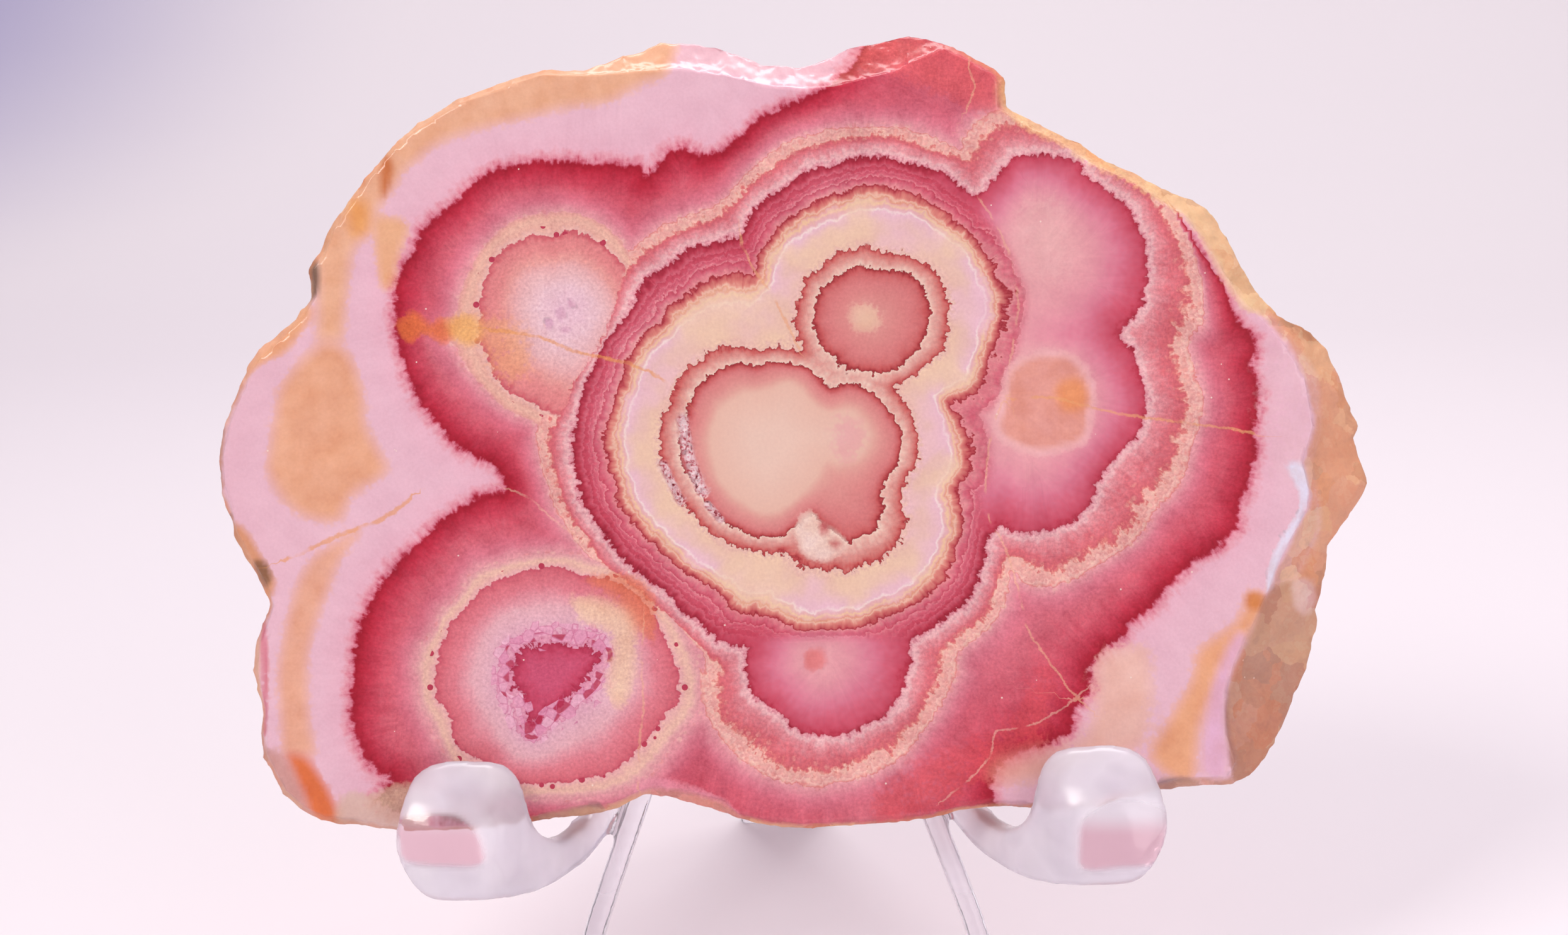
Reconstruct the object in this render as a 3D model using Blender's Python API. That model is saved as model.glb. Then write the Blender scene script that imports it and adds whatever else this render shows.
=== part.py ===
# Polished rhodochrosite slice resting on a one-piece clear plastic easel.
# Metres, +Z up, the polished face looks along -Y and leans back.
# Outlines are in millimetres in the plane of the polished face: u to the right, v up.
import math

import bmesh
import bpy
from mathutils import Vector, noise
from mathutils.geometry import delaunay_2d_cdt

mm = 0.001

lean = math.radians(15.0)        # the face leans back from upright
roll = math.radians(1.4)         # the slice sits turned clockwise in its own plane
sliceHeight = 60.0               # floor to the middle of the face
thickness = 6.0
backShift = 16.5                 # puts the whole thing's box centre over the origin
sideShift = 0.05
standAside = -2.2                # middle of the easel beside the middle of the slice

legThick, legDeep = 2.1, 6.0     # the arch is a flat bar, seen on its thin side
legGap = 0.5                     # slice back to arch
armThick, armBevel, armGrid = 2.3, 0.55, 1.7
rearWide, rearThick = 9.0, 2.4
gridStep, edgeStep = 3.2, 1.7

# Outer edge of the slice, clockwise from the upper left
rimOutline = [
    (-38.6, 27), (-36, 29.5), (-32, 31.9), (-27, 33.7), (-24, 34.6), (-20, 34.5), (-16.5, 35.9),
    (-13, 37.2), (-10, 37.2), (-7.2, 36.7), (-3, 35.1), (0, 34.8), (3, 35.7), (5, 36.7), (8.5, 37.5),
    (11, 37.9), (14, 37.2), (17, 35.7), (18.8, 34.9), (20.1, 33.6), (20.2, 31), (22, 29.9), (25, 28.5),
    (27.5, 27.4), (29, 26.1), (32, 24.8), (35, 23.3), (38.5, 22.1), (40.5, 20.2), (42, 17.2),
    (44.3, 13), (46, 11.3), (50, 9.1), (51, 8.3), (51.7, 6.5), (54.3, 0.6), (53.9, -0.9),
    (54.9, -4), (55.1, -5.3), (54.6, -6.5), (51.2, -11), (51.5, -12.5), (50.2, -17.3), (50.5, -18.2),
    (49.1, -23.7), (47.6, -27.3), (45.9, -30.5), (43.6, -33), (42, -33.7), (38.5, -33.9), (34.7, -34.4),
    (30, -35.6), (25, -36.2), (19, -35.8), (16, -36.2), (13.2, -37), (7, -37.5), (1, -38), (-1, -37.9),
    (-5, -37.2), (-8, -36.2), (-11.2, -35.2), (-14, -34.8), (-17.5, -36.2), (-21, -36.8),
    (-24.6, -37.3), (-31, -38.2), (-37.8, -38.2), (-41, -37.6), (-43, -37.7), (-45, -37.2), (-47, -36.3),
    (-49, -34.6), (-50.8, -31), (-50.9, -26), (-51.8, -22.5), (-51.4, -20), (-50.2, -16.5),
    (-51, -14.5), (-53.6, -10), (-54.7, -5.5), (-55, -2.5), (-54.5, 0.5), (-53.2, 4), (-51.5, 7.7),
    (-47.5, 10.8), (-46.2, 13), (-46.6, 15.7), (-45.3, 17.2), (-44.5, 19.5), (-41, 24.3)]

# Edge of the polished flat inside it; the wide strip at the lower right is broken stone
faceOutline = [
    (-37.8, 26.8), (-35.4, 28.9), (-31.8, 31), (-26.8, 32.9), (-23.9, 33.8), (-19.6, 33.7), (-16, 34),
    (-11, 34.4), (-7, 33.8), (-3, 32.8), (1, 32.4), (5, 33), (9, 34), (12.5, 35.6), (14, 36.2),
    (16.4, 35.1), (18.4, 34), (19.2, 33.1), (19.3, 30.6), (21.6, 29.1), (25, 27.4), (28, 25.4),
    (31, 24), (34, 22.3), (37, 20.3), (39.4, 17), (41.8, 13.2), (44.3, 10.4), (46.4, 8), (48.2, 5),
    (49, 0.5), (48, -3), (48.6, -5.5), (48.4, -7.6), (45.6, -12.5), (44.8, -15), (43.2, -18.5),
    (41.5, -22), (40.8, -25), (40.9, -29), (41.6, -31.4), (41, -32.7), (36.5, -32.8), (34.4, -33.4),
    (30, -34.6), (25, -35.3), (19, -35.1), (15.8, -35.5), (13, -36.2), (7, -36.8), (1, -37.2),
    (-3, -36.8), (-5.4, -36.2), (-6.8, -35), (-10, -34), (-13.5, -33.5), (-17.3, -35.2), (-21, -35.4),
    (-24.6, -36.4), (-31, -37.4), (-37.6, -37.4), (-40.8, -36.9), (-44.6, -36.5), (-46.5, -35.6),
    (-48.3, -34), (-50, -30.6), (-50.2, -26), (-51, -22.6), (-50.6, -19.9), (-49.4, -16.5),
    (-50.2, -14.3), (-52.8, -9.7), (-54, -5.2), (-54.2, -2.5), (-53.7, 0.3), (-52.4, 3.4), (-50.6, 7),
    (-46.9, 10.3), (-45.3, 12.8), (-45.7, 15.3), (-44.5, 16.9), (-43.7, 19.1), (-40.3, 23.9)]

# Half of the arch from a foot to the top: out from the middle, up the slice
archHalf = [(21.2, -64), (20.6, -58), (19.0, -50), (17.6, -45.6), (16.1, -41.5), (14.9, -38.3),
            (12.4, -31.5), (9.9, -24), (7.4, -15), (4.9, -6), (2.6, 0.6), (0, 2.8)]

# Right arm and hook, one shell: its outline out from the middle and up the face, from the leg
# along the lower edge, round the upright hook and back along the upper edge
armOutline = [(13.6, -36.6), (15.8, -36.9), (17.2, -38.6), (18.7, -40.1), (20.4, -41.4), (22.2, -42.3),
              (24.2, -42.7), (28, -42.7), (31.6, -42.6), (33.4, -41.9), (34.6, -40.4), (35.4, -38.7),
              (35.7, -37.1), (35.4, -35.3), (34.8, -33.2), (34.1, -31.8), (32.7, -30.9), (31, -30.6),
              (27.6, -30.7), (25.9, -31.3), (24.9, -32.5), (24.3, -34.4), (23.9, -36.2), (23.1, -37.5),
              (21.9, -38.2), (20.7, -38), (19.4, -36.9), (17.8, -35.1), (15.8, -33.4), (13.4, -31.9)]
# how far that shell stands in front of the face: by the way out, then less by the way up
armOut = [(13, -9.6), (15.5, -9.2), (17.6, -8.4), (19, -7), (20.5, -4.3), (22, -1.1), (23.4, 1.8),
          (25, 4.1), (27, 5.5), (29.5, 6.1), (33, 6), (36, 5.2)]
armUp = [(-43, -0.7), (-41.8, -0.1), (-38, 0), (-36, -0.2), (-34.2, -0.9), (-32.6, -2.1), (-31.2, -3.4),
         (-30, -4.4)]

# Rear leg: back from the face plane's foot, height
rearPath = [(9.6, 59.6), (15, 60.6), (21, 56.6), (28, 46), (36, 30), (43, 15), (50.5, -3)]


def spot(x, v, w):
    # a place beside the easel's middle, up the face and out of it, in world metres
    y = v * math.sin(lean) - w * math.cos(lean)
    z = v * math.cos(lean) + w * math.sin(lean)
    return Vector(((x + standAside + sideShift) * mm, (y - backShift) * mm, (z + sliceHeight) * mm))


def makeMaterial(name, color, rough, **extra):
    material = bpy.data.materials.new(name)
    material.use_nodes = True
    shader = material.node_tree.nodes["Principled BSDF"]
    shader.inputs["Base Color"].default_value = (*color, 1)
    shader.inputs["Roughness"].default_value = rough
    shader.inputs["Metallic"].default_value = 0
    for socket, value in extra.items():
        shader.inputs[socket].default_value = value
    return material


def addObject(name, mesh, material=None):
    obj = bpy.data.objects.new(name, mesh)
    bpy.context.collection.objects.link(obj)
    if material:
        mesh.materials.append(material)
    return obj


# ---- the slice

def divided(outline, step):
    points = []
    for (u0, v0), (u1, v1) in zip(outline, outline[1:] + outline[:1]):
        count = max(1, round(math.hypot(u1 - u0, v1 - v0) / step))
        points += [(u0 + (u1 - u0) * k / count, v0 + (v1 - v0) * k / count) for k in range(count)]
    return points


def distanceTo(u, v, outline):
    best = 1e9
    for (u0, v0), (u1, v1) in zip(outline, outline[1:] + outline[:1]):
        du, dv = u1 - u0, v1 - v0
        t = max(0, min(1, ((u - u0) * du + (v - v0) * dv) / (du * du + dv * dv)))
        best = min(best, math.hypot(u - u0 - t * du, v - v0 - t * dv))
    return best


def isInside(u, v, outline):
    crossings = 0
    for (u0, v0), (u1, v1) in zip(outline, outline[1:] + outline[:1]):
        if (v0 > v) != (v1 > v) and u < u0 + (v - v0) / (v1 - v0) * (u1 - u0):
            crossings += 1
    return crossings % 2 == 1


def gridInside(outline, step, margin):
    # staggered rows of points kept clear of the outline
    points = []
    for row in range(-40, 41):
        for column in range(-60, 61):
            u, v = (column + 0.5 * (row % 2)) * step, row * step * 0.87
            if isInside(u, v, outline) and distanceTo(u, v, outline) > margin:
                points.append((u, v))
    return points


def edgeDrop(u, v):
    # how far the stone falls behind the polished plane outside its edge
    far = distanceTo(u, v, faceOutline)
    drop = 0.85 * far ** 0.75
    if v < 30 or u > 15:      # the top bevel is polished, the rest is broken
        drop += 0.2 * far * noise.noise(Vector((u * 0.3, v * 0.3, 3.7)))
        drop += 0.1 * far * noise.noise(Vector((u * 0.8, v * 0.8, 9.1)))
    return max(0.15, drop)


def triangulate(loops, loose):
    coords = [Vector(p) for loop in loops for p in loop] + [Vector(p) for p in loose]
    edges, start = [], 0
    for loop in loops:
        edges += [(start + k, start + (k + 1) % len(loop)) for k in range(len(loop))]
        start += len(loop)
    flat, _, faces, origins, _, _ = delaunay_2d_cdt(coords, edges, [], 0, 1e-6, True)
    inside = []
    for face in faces:
        u, v = sum((flat[k] for k in face), Vector((0, 0))) / 3
        if isInside(u, v, loops[0]):
            inside.append(tuple(face))
    return [tuple(p) for p in flat], inside, origins


def sliceMesh():
    mesh = bmesh.new()
    rim = divided(rimOutline, edgeStep)
    face = divided(faceOutline, edgeStep)
    inner = gridInside(faceOutline, gridStep, 1.6)
    shelf = [(u, v) for u, v in gridInside(rimOutline, 1.5, 0.75)
             if not isInside(u, v, faceOutline) and distanceTo(u, v, faceOutline) > 0.75]

    flat, faces, origins = triangulate([rim, face], inner + shelf)
    front, rimOf = [], {}
    for k, (u, v) in enumerate(flat):
        source = origins[k][0]
        outside = source < len(rim) or source >= len(rim) + len(face) + len(inner)
        front.append(mesh.verts.new((u, v, -edgeDrop(u, v) if outside else 0)))
        if source < len(rim):
            rimOf[source] = front[-1]
    for a, b, c in faces:
        mesh.faces.new((front[a], front[b], front[c]))

    # broken edge: rings of facets from the front rim to the back
    rings = [[rimOf[k] for k in range(len(rim))]]
    layers = [(0.28, 0.1, 0.5), (0.58, 0.2, 0.9), (0.86, 0.45, 1.1), (1.0, 1.0, 0.8)]
    for share, inset, rough in layers:
        ring = []
        for k, (u, v) in enumerate(rim):
            (ua, va), (ub, vb) = rim[k - 1], rim[(k + 1) % len(rim)]
            along = Vector((ub - ua, vb - va)).normalized()
            top = rings[0][k].co.z
            chip = noise.cell(Vector((u * 0.3, v * 0.3, share * 7)))
            wave = 0.5 + 0.5 * noise.noise(Vector((u * 0.33, v * 0.33, share * 2.1)))
            inward = inset + rough * (0.55 * wave + 0.45 * chip)
            if v < -34.5 and 15 < abs(u) < 25:
                inward *= 0.25      # squarer where it rests on the arms
            depth = top + (-thickness - top) * share
            if share < 1:
                depth += 0.35 * noise.noise(Vector((u * 0.5, v * 0.5, 4 + share)))
            ring.append(mesh.verts.new((u + along.y * inward, v - along.x * inward, depth)))
        rings.append(ring)
    for upper, lower in zip(rings, rings[1:]):
        for k in range(len(rim)):
            n = (k + 1) % len(rim)
            if (k * 7 + len(rings)) % 3:
                mesh.faces.new((upper[k], upper[n], lower[k]))
                mesh.faces.new((upper[n], lower[n], lower[k]))
            else:
                mesh.faces.new((upper[k], upper[n], lower[n]))
                mesh.faces.new((upper[k], lower[n], lower[k]))

    # sawn back
    back = [(v.co.x, v.co.y) for v in rings[-1]]
    flat, faces, origins = triangulate([back], gridInside(back, gridStep, 1.6))
    verts = [rings[-1][origins[k][0]] if origins[k][0] < len(back) else mesh.verts.new((*p, -thickness))
             for k, p in enumerate(flat)]
    for a, b, c in faces:
        mesh.faces.new((verts[c], verts[b], verts[a]))

    bmesh.ops.recalc_face_normals(mesh, faces=mesh.faces)
    bmesh.ops.scale(mesh, vec=(mm, mm, mm), verts=mesh.verts)
    data = bpy.data.meshes.new("slice")
    mesh.to_mesh(data)
    mesh.free()
    return data


# ---- the easel

def curved(points, steps):
    # smooth run through the control points, which may be tuples of any length
    line = []
    ends = [points[0]] + list(points) + [points[-1]]
    for p0, p1, p2, p3 in zip(ends, ends[1:], ends[2:], ends[3:]):
        for k in range(steps):
            t = k / steps
            line.append(tuple(0.5 * (2 * b + (c - a) * t + (2 * a - 5 * b + 4 * c - d) * t * t
                                     + (3 * b - a - 3 * c + d) * t ** 3)
                              for a, b, c, d in zip(p0, p1, p2, p3)))
    line.append(tuple(points[-1]))
    return line


def barMesh(name, centres, widths, thick, directions):
    # flat bar with chamfered edges, swept along the centres
    mesh = bmesh.new()
    rings = []
    for k, centre in enumerate(centres):
        ahead = centres[min(k + 1, len(centres) - 1)]
        behind = centres[max(k - 1, 0)]
        tangent = (ahead - behind).normalized()
        across = (directions[k] - tangent * directions[k].dot(tangent)).normalized()
        normal = tangent.cross(across)
        a, b, c = widths[k] / 2 * mm, thick / 2 * mm, 0.45 * mm
        profile = [(a, c - b), (a, b - c), (a - c, b), (c - a, b), (-a, b - c), (-a, c - b),
                   (c - a, -b), (a - c, -b)]
        rings.append([mesh.verts.new(centre + across * s + normal * t) for s, t in profile])
    for lower, upper in zip(rings, rings[1:]):
        for k in range(8):
            n = (k + 1) % 8
            mesh.faces.new((lower[k], lower[n], upper[n], upper[k]))
    mesh.faces.new(rings[0][::-1])
    mesh.faces.new(rings[-1])
    bmesh.ops.recalc_face_normals(mesh, faces=mesh.faces)
    data = bpy.data.meshes.new(name)
    mesh.to_mesh(data)
    mesh.free()
    return data


def archMesh():
    half = curved(archHalf, 2)
    line = half + [(-x, v) for x, v in half[-2::-1]]
    w = -thickness - legGap - legDeep / 2
    centres = [spot(x, v, w) for x, v in line]
    outOfFace = spot(0, 0, 1) - spot(0, 0, 0)
    return barMesh("easel", centres, [legDeep] * len(line), legThick, [outOfFace] * len(line))


def level(table, x):
    if x <= table[0][0]:
        return table[0][1]
    for (x0, y0), (x1, y1) in zip(table, table[1:]):
        if x <= x1:
            return y0 + (y1 - y0) * (x - x0) / (x1 - x0)
    return table[-1][1]


def softLevel(table, x, reach=0.7):
    return sum(level(table, x + reach * k / 3) for k in range(-3, 4)) / 7      # rounds the bends


def armMesh(side):
    outline = curved(armOutline + armOutline[:1], 2)[:-1]
    flat, faces, _ = triangulate([outline], gridInside(outline, armGrid, 0.9))
    mesh = bmesh.new()
    verts = [mesh.verts.new(spot(side * x, v, softLevel(armOut, x) + softLevel(armUp, v))) for x, v in flat]
    for face in faces:
        mesh.faces.new([verts[k] for k in face][::side])
    mesh.normal_update()
    outer = [f for f in mesh.faces]
    away = {v: v.co + v.normal * armThick / 2 * mm for v in verts}
    near = {v: v.co - v.normal * armThick / 2 * mm for v in verts}
    copy = {v: mesh.verts.new(near[v]) for v in verts}
    rim = [e for e in mesh.edges if e.is_boundary]
    for face in outer:
        mesh.faces.new([copy[v] for v in reversed(face.verts)])
    for edge in rim:
        loop = edge.link_loops[0]
        a, b = loop.vert, loop.link_loop_next.vert
        mesh.faces.new((b, a, copy[a], copy[b]))
    for v in verts:
        v.co = away[v]
    sharp = [e for e in mesh.edges if e.calc_face_angle(0) > 1.0]
    bmesh.ops.bevel(mesh, geom=sharp, offset=armBevel * mm, segments=2, profile=0.5, affect="EDGES",
                    clamp_overlap=True)
    bmesh.ops.recalc_face_normals(mesh, faces=mesh.faces)
    data = bpy.data.meshes.new("arm")
    mesh.to_mesh(data)
    mesh.free()
    return data


def rearMesh():
    line = curved(rearPath, 3)
    x = (standAside + sideShift) * mm
    centres = [Vector((x, (y - backShift) * mm, z * mm)) for y, z in line]
    count = len(line) - 1
    widths = [rearWide * (0.8 + 0.35 * (k / count) ** 2) for k in range(count + 1)]
    return barMesh("rearLeg", centres, widths, rearThick, [Vector((1, 0, 0))] * len(line))


def join(target, mesh, operation):
    helper = addObject(mesh.name, mesh)
    helper.hide_render = True
    helper.display_type = "WIRE"
    modifier = target.modifiers.new(operation.lower(), "BOOLEAN")
    modifier.operation = operation
    modifier.solver = "EXACT"
    modifier.object = helper


def floorMesh():
    mesh = bmesh.new()
    bmesh.ops.create_cube(mesh, size=1)
    bmesh.ops.scale(mesh, vec=(0.2, 0.2, 0.02), verts=mesh.verts)
    bmesh.ops.translate(mesh, vec=(0, 0, -0.01), verts=mesh.verts)
    data = bpy.data.meshes.new("floorCut")
    mesh.to_mesh(data)
    mesh.free()
    return data


for old in list(bpy.data.objects):
    bpy.data.objects.remove(old)

rest = bpy.data.objects.new("rest", None)
bpy.context.collection.objects.link(rest)
rest.location = (sideShift * mm, -backShift * mm, sliceHeight * mm)
rest.rotation_euler = (math.pi / 2 - lean, 0, 0)

stone = makeMaterial("rhodochrosite", (0.78, 0.27, 0.32), 0.16)
stoneSlice = addObject("slice", sliceMesh(), stone)
stoneSlice.parent = rest
stoneSlice.rotation_euler = (0, 0, -roll)

acrylic = makeMaterial("clearAcrylic", (0.95, 0.96, 0.98), 0.04, **{"Transmission Weight": 1, "IOR": 1.49})
easel = addObject("easel", archMesh(), acrylic)
join(easel, armMesh(1), "UNION")
join(easel, armMesh(-1), "UNION")
join(easel, rearMesh(), "UNION")
join(easel, floorMesh(), "DIFFERENCE")
easel.data.shade_smooth()
easel.data.set_sharp_from_angle(angle=math.radians(32))
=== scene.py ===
import math

import bpy
import numpy as np
from mathutils import Matrix, Vector, noise


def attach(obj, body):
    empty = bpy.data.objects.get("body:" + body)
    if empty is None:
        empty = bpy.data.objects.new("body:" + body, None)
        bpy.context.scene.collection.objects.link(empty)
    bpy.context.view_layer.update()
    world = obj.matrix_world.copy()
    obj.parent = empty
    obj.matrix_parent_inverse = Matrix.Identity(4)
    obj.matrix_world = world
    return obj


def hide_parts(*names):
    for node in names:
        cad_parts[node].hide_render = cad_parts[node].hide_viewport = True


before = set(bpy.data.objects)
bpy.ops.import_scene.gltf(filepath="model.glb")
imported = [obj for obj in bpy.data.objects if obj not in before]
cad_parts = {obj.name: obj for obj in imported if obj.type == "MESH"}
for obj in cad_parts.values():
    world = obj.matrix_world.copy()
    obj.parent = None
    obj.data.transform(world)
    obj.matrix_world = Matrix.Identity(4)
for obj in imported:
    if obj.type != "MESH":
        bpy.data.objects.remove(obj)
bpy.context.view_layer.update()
mm = 0.001
batch = 6000  # places measured at a time

# the polished face: u to the right, v up, w out of it, in millimetres
stand = {
    "middle": (0.00005, -0.0165, 0.06),  # m, middle of the face
    "rise": 75,                          # degrees up from lying flat
    "turn": -1.4,                        # degrees in its own plane
    "weld": 0.000002,                    # m, points of a solid this close are one
    "flat": 0.6,                         # degrees, triangles this level with each other are joined
}
faceFrame = (Matrix.Translation(stand["middle"]) @ Matrix.Rotation(math.radians(stand["rise"]), 4, "X")
             @ Matrix.Rotation(math.radians(stand["turn"]), 4, "Z"))
uAxis, vAxis, wAxis = (faceFrame.to_3x3() @ Vector(way) for way in ((1, 0, 0), (0, 1, 0), (0, 0, 1)))


def tone(red, green, blue):
    # a colour from 0 to 255 as the shader wants it
    return tuple((c / 255 / 12.92 if c < 11 else ((c / 255 + 0.055) / 1.055) ** 2.4)
                 for c in (red, green, blue)) + (1.0,)


def node(tree, kind, values=None, **settings):
    made = tree.nodes.new("ShaderNode" + kind)
    for key, value in settings.items():
        setattr(made, key, value)
    for key, value in (values or {}).items():
        if isinstance(value, bpy.types.NodeSocket):
            tree.links.new(value, made.inputs[key])
        else:
            made.inputs[key].default_value = value
    return made


def treeOf(*values):
    # the node tree that a wired value belongs to
    return next(value.id_data for value in values if isinstance(value, bpy.types.NodeSocket))


def calc(operation, a, b=0.0):
    return node(treeOf(a, b), "Math", {0: a, 1: b}, operation=operation).outputs[0]


def plus(a, b):
    return calc("ADD", a, b)


def less(a, b):
    return calc("SUBTRACT", a, b)


def times(a, b):
    return calc("MULTIPLY", a, b)


def past(a, b):
    return calc("GREATER_THAN", a, b)


def under(a, b):
    return calc("LESS_THAN", a, b)


def rest(a):
    return less(1.0, a)


def step(value, start, end):
    # 0 before start, 1 after end, smooth between
    return node(treeOf(value), "MapRange", {0: value, 1: start, 2: end, 3: 0.0, 4: 1.0},
                interpolation_type="SMOOTHSTEP", clamp=True).outputs[0]


def mixed(factor, a, b, way="MIX"):
    tree = treeOf(factor, a, b)
    return node(tree, "Mix", {0: factor, 6: a, 7: b}, data_type="RGBA", blend_type=way).outputs[2]


def tinted(color, shares):
    # the colour with its red, green and blue each multiplied
    factor = node(treeOf(color), "CombineColor", dict(enumerate(shares))).outputs[0]
    return mixed(1.0, color, factor, "MULTIPLY")


def ramp(value, low, high, stops):
    # stops are (place, level) or (place, red, green, blue), with the place in the value's own units
    tree = treeOf(value)
    place = node(tree, "MapRange", {0: value, 1: low, 2: high, 3: 0.0, 4: 1.0}).outputs[0]
    made = node(tree, "ValToRGB", {0: place})
    band = made.color_ramp
    while len(band.elements) < len(stops):
        band.elements.new(0.5)
    for element in band.elements:
        element.position = 0.0
    for k, (at, *color) in enumerate(stops):
        band.elements[k].position = (at - low) / (high - low)
        band.elements[k].color = tone(*color) if len(color) == 3 else (color[0], color[0], color[0], 1)
    return made.outputs[0]


def grain(place, scale, detail=3.0, rough=0.55):
    return node(treeOf(place), "TexNoise",
                {"Vector": place, "Scale": scale, "Detail": detail, "Roughness": rough}).outputs[0]


def cells(place, scale, **settings):
    return node(treeOf(place), "TexVoronoi", {"Vector": place, "Scale": scale}, **settings)


def chances(cell):
    # three numbers from 0 to 1 for each cell
    return node(treeOf(cell.outputs["Color"]), "SeparateColor", {0: cell.outputs["Color"]}).outputs


def layer(tree, name):
    return node(tree, "Attribute", attribute_name=name)


def startMaterial(name):
    material = bpy.data.materials.new(name)
    material.use_nodes = True
    tree = material.node_tree
    return material, tree, tree.nodes["Principled BSDF"]


def wire(tree, start, socket):
    tree.links.new(start, socket)


def makeActive(obj):
    for other in bpy.context.selected_objects:
        other.select_set(False)
    obj.select_set(True)
    bpy.context.view_layer.objects.active = obj


def pointsOf(obj):
    places = np.zeros(len(obj.data.vertices) * 3)
    obj.data.vertices.foreach_get("co", places)
    return places.reshape(-1, 3)


def copyNode(name, pieceName):
    # the solid's own mesh under a new name, its loose triangles joined up
    obj = bpy.data.objects.new(pieceName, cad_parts[name].data.copy())
    bpy.context.scene.collection.objects.link(obj)
    obj.data.materials.clear()
    makeActive(obj)
    bpy.ops.object.mode_set(mode="EDIT")
    bpy.ops.mesh.select_mode(type="VERT")
    bpy.ops.mesh.select_all(action="SELECT")
    bpy.ops.mesh.remove_doubles(threshold=stand["weld"])
    bpy.ops.mesh.dissolve_limited(angle_limit=math.radians(stand["flat"]))
    return obj


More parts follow.
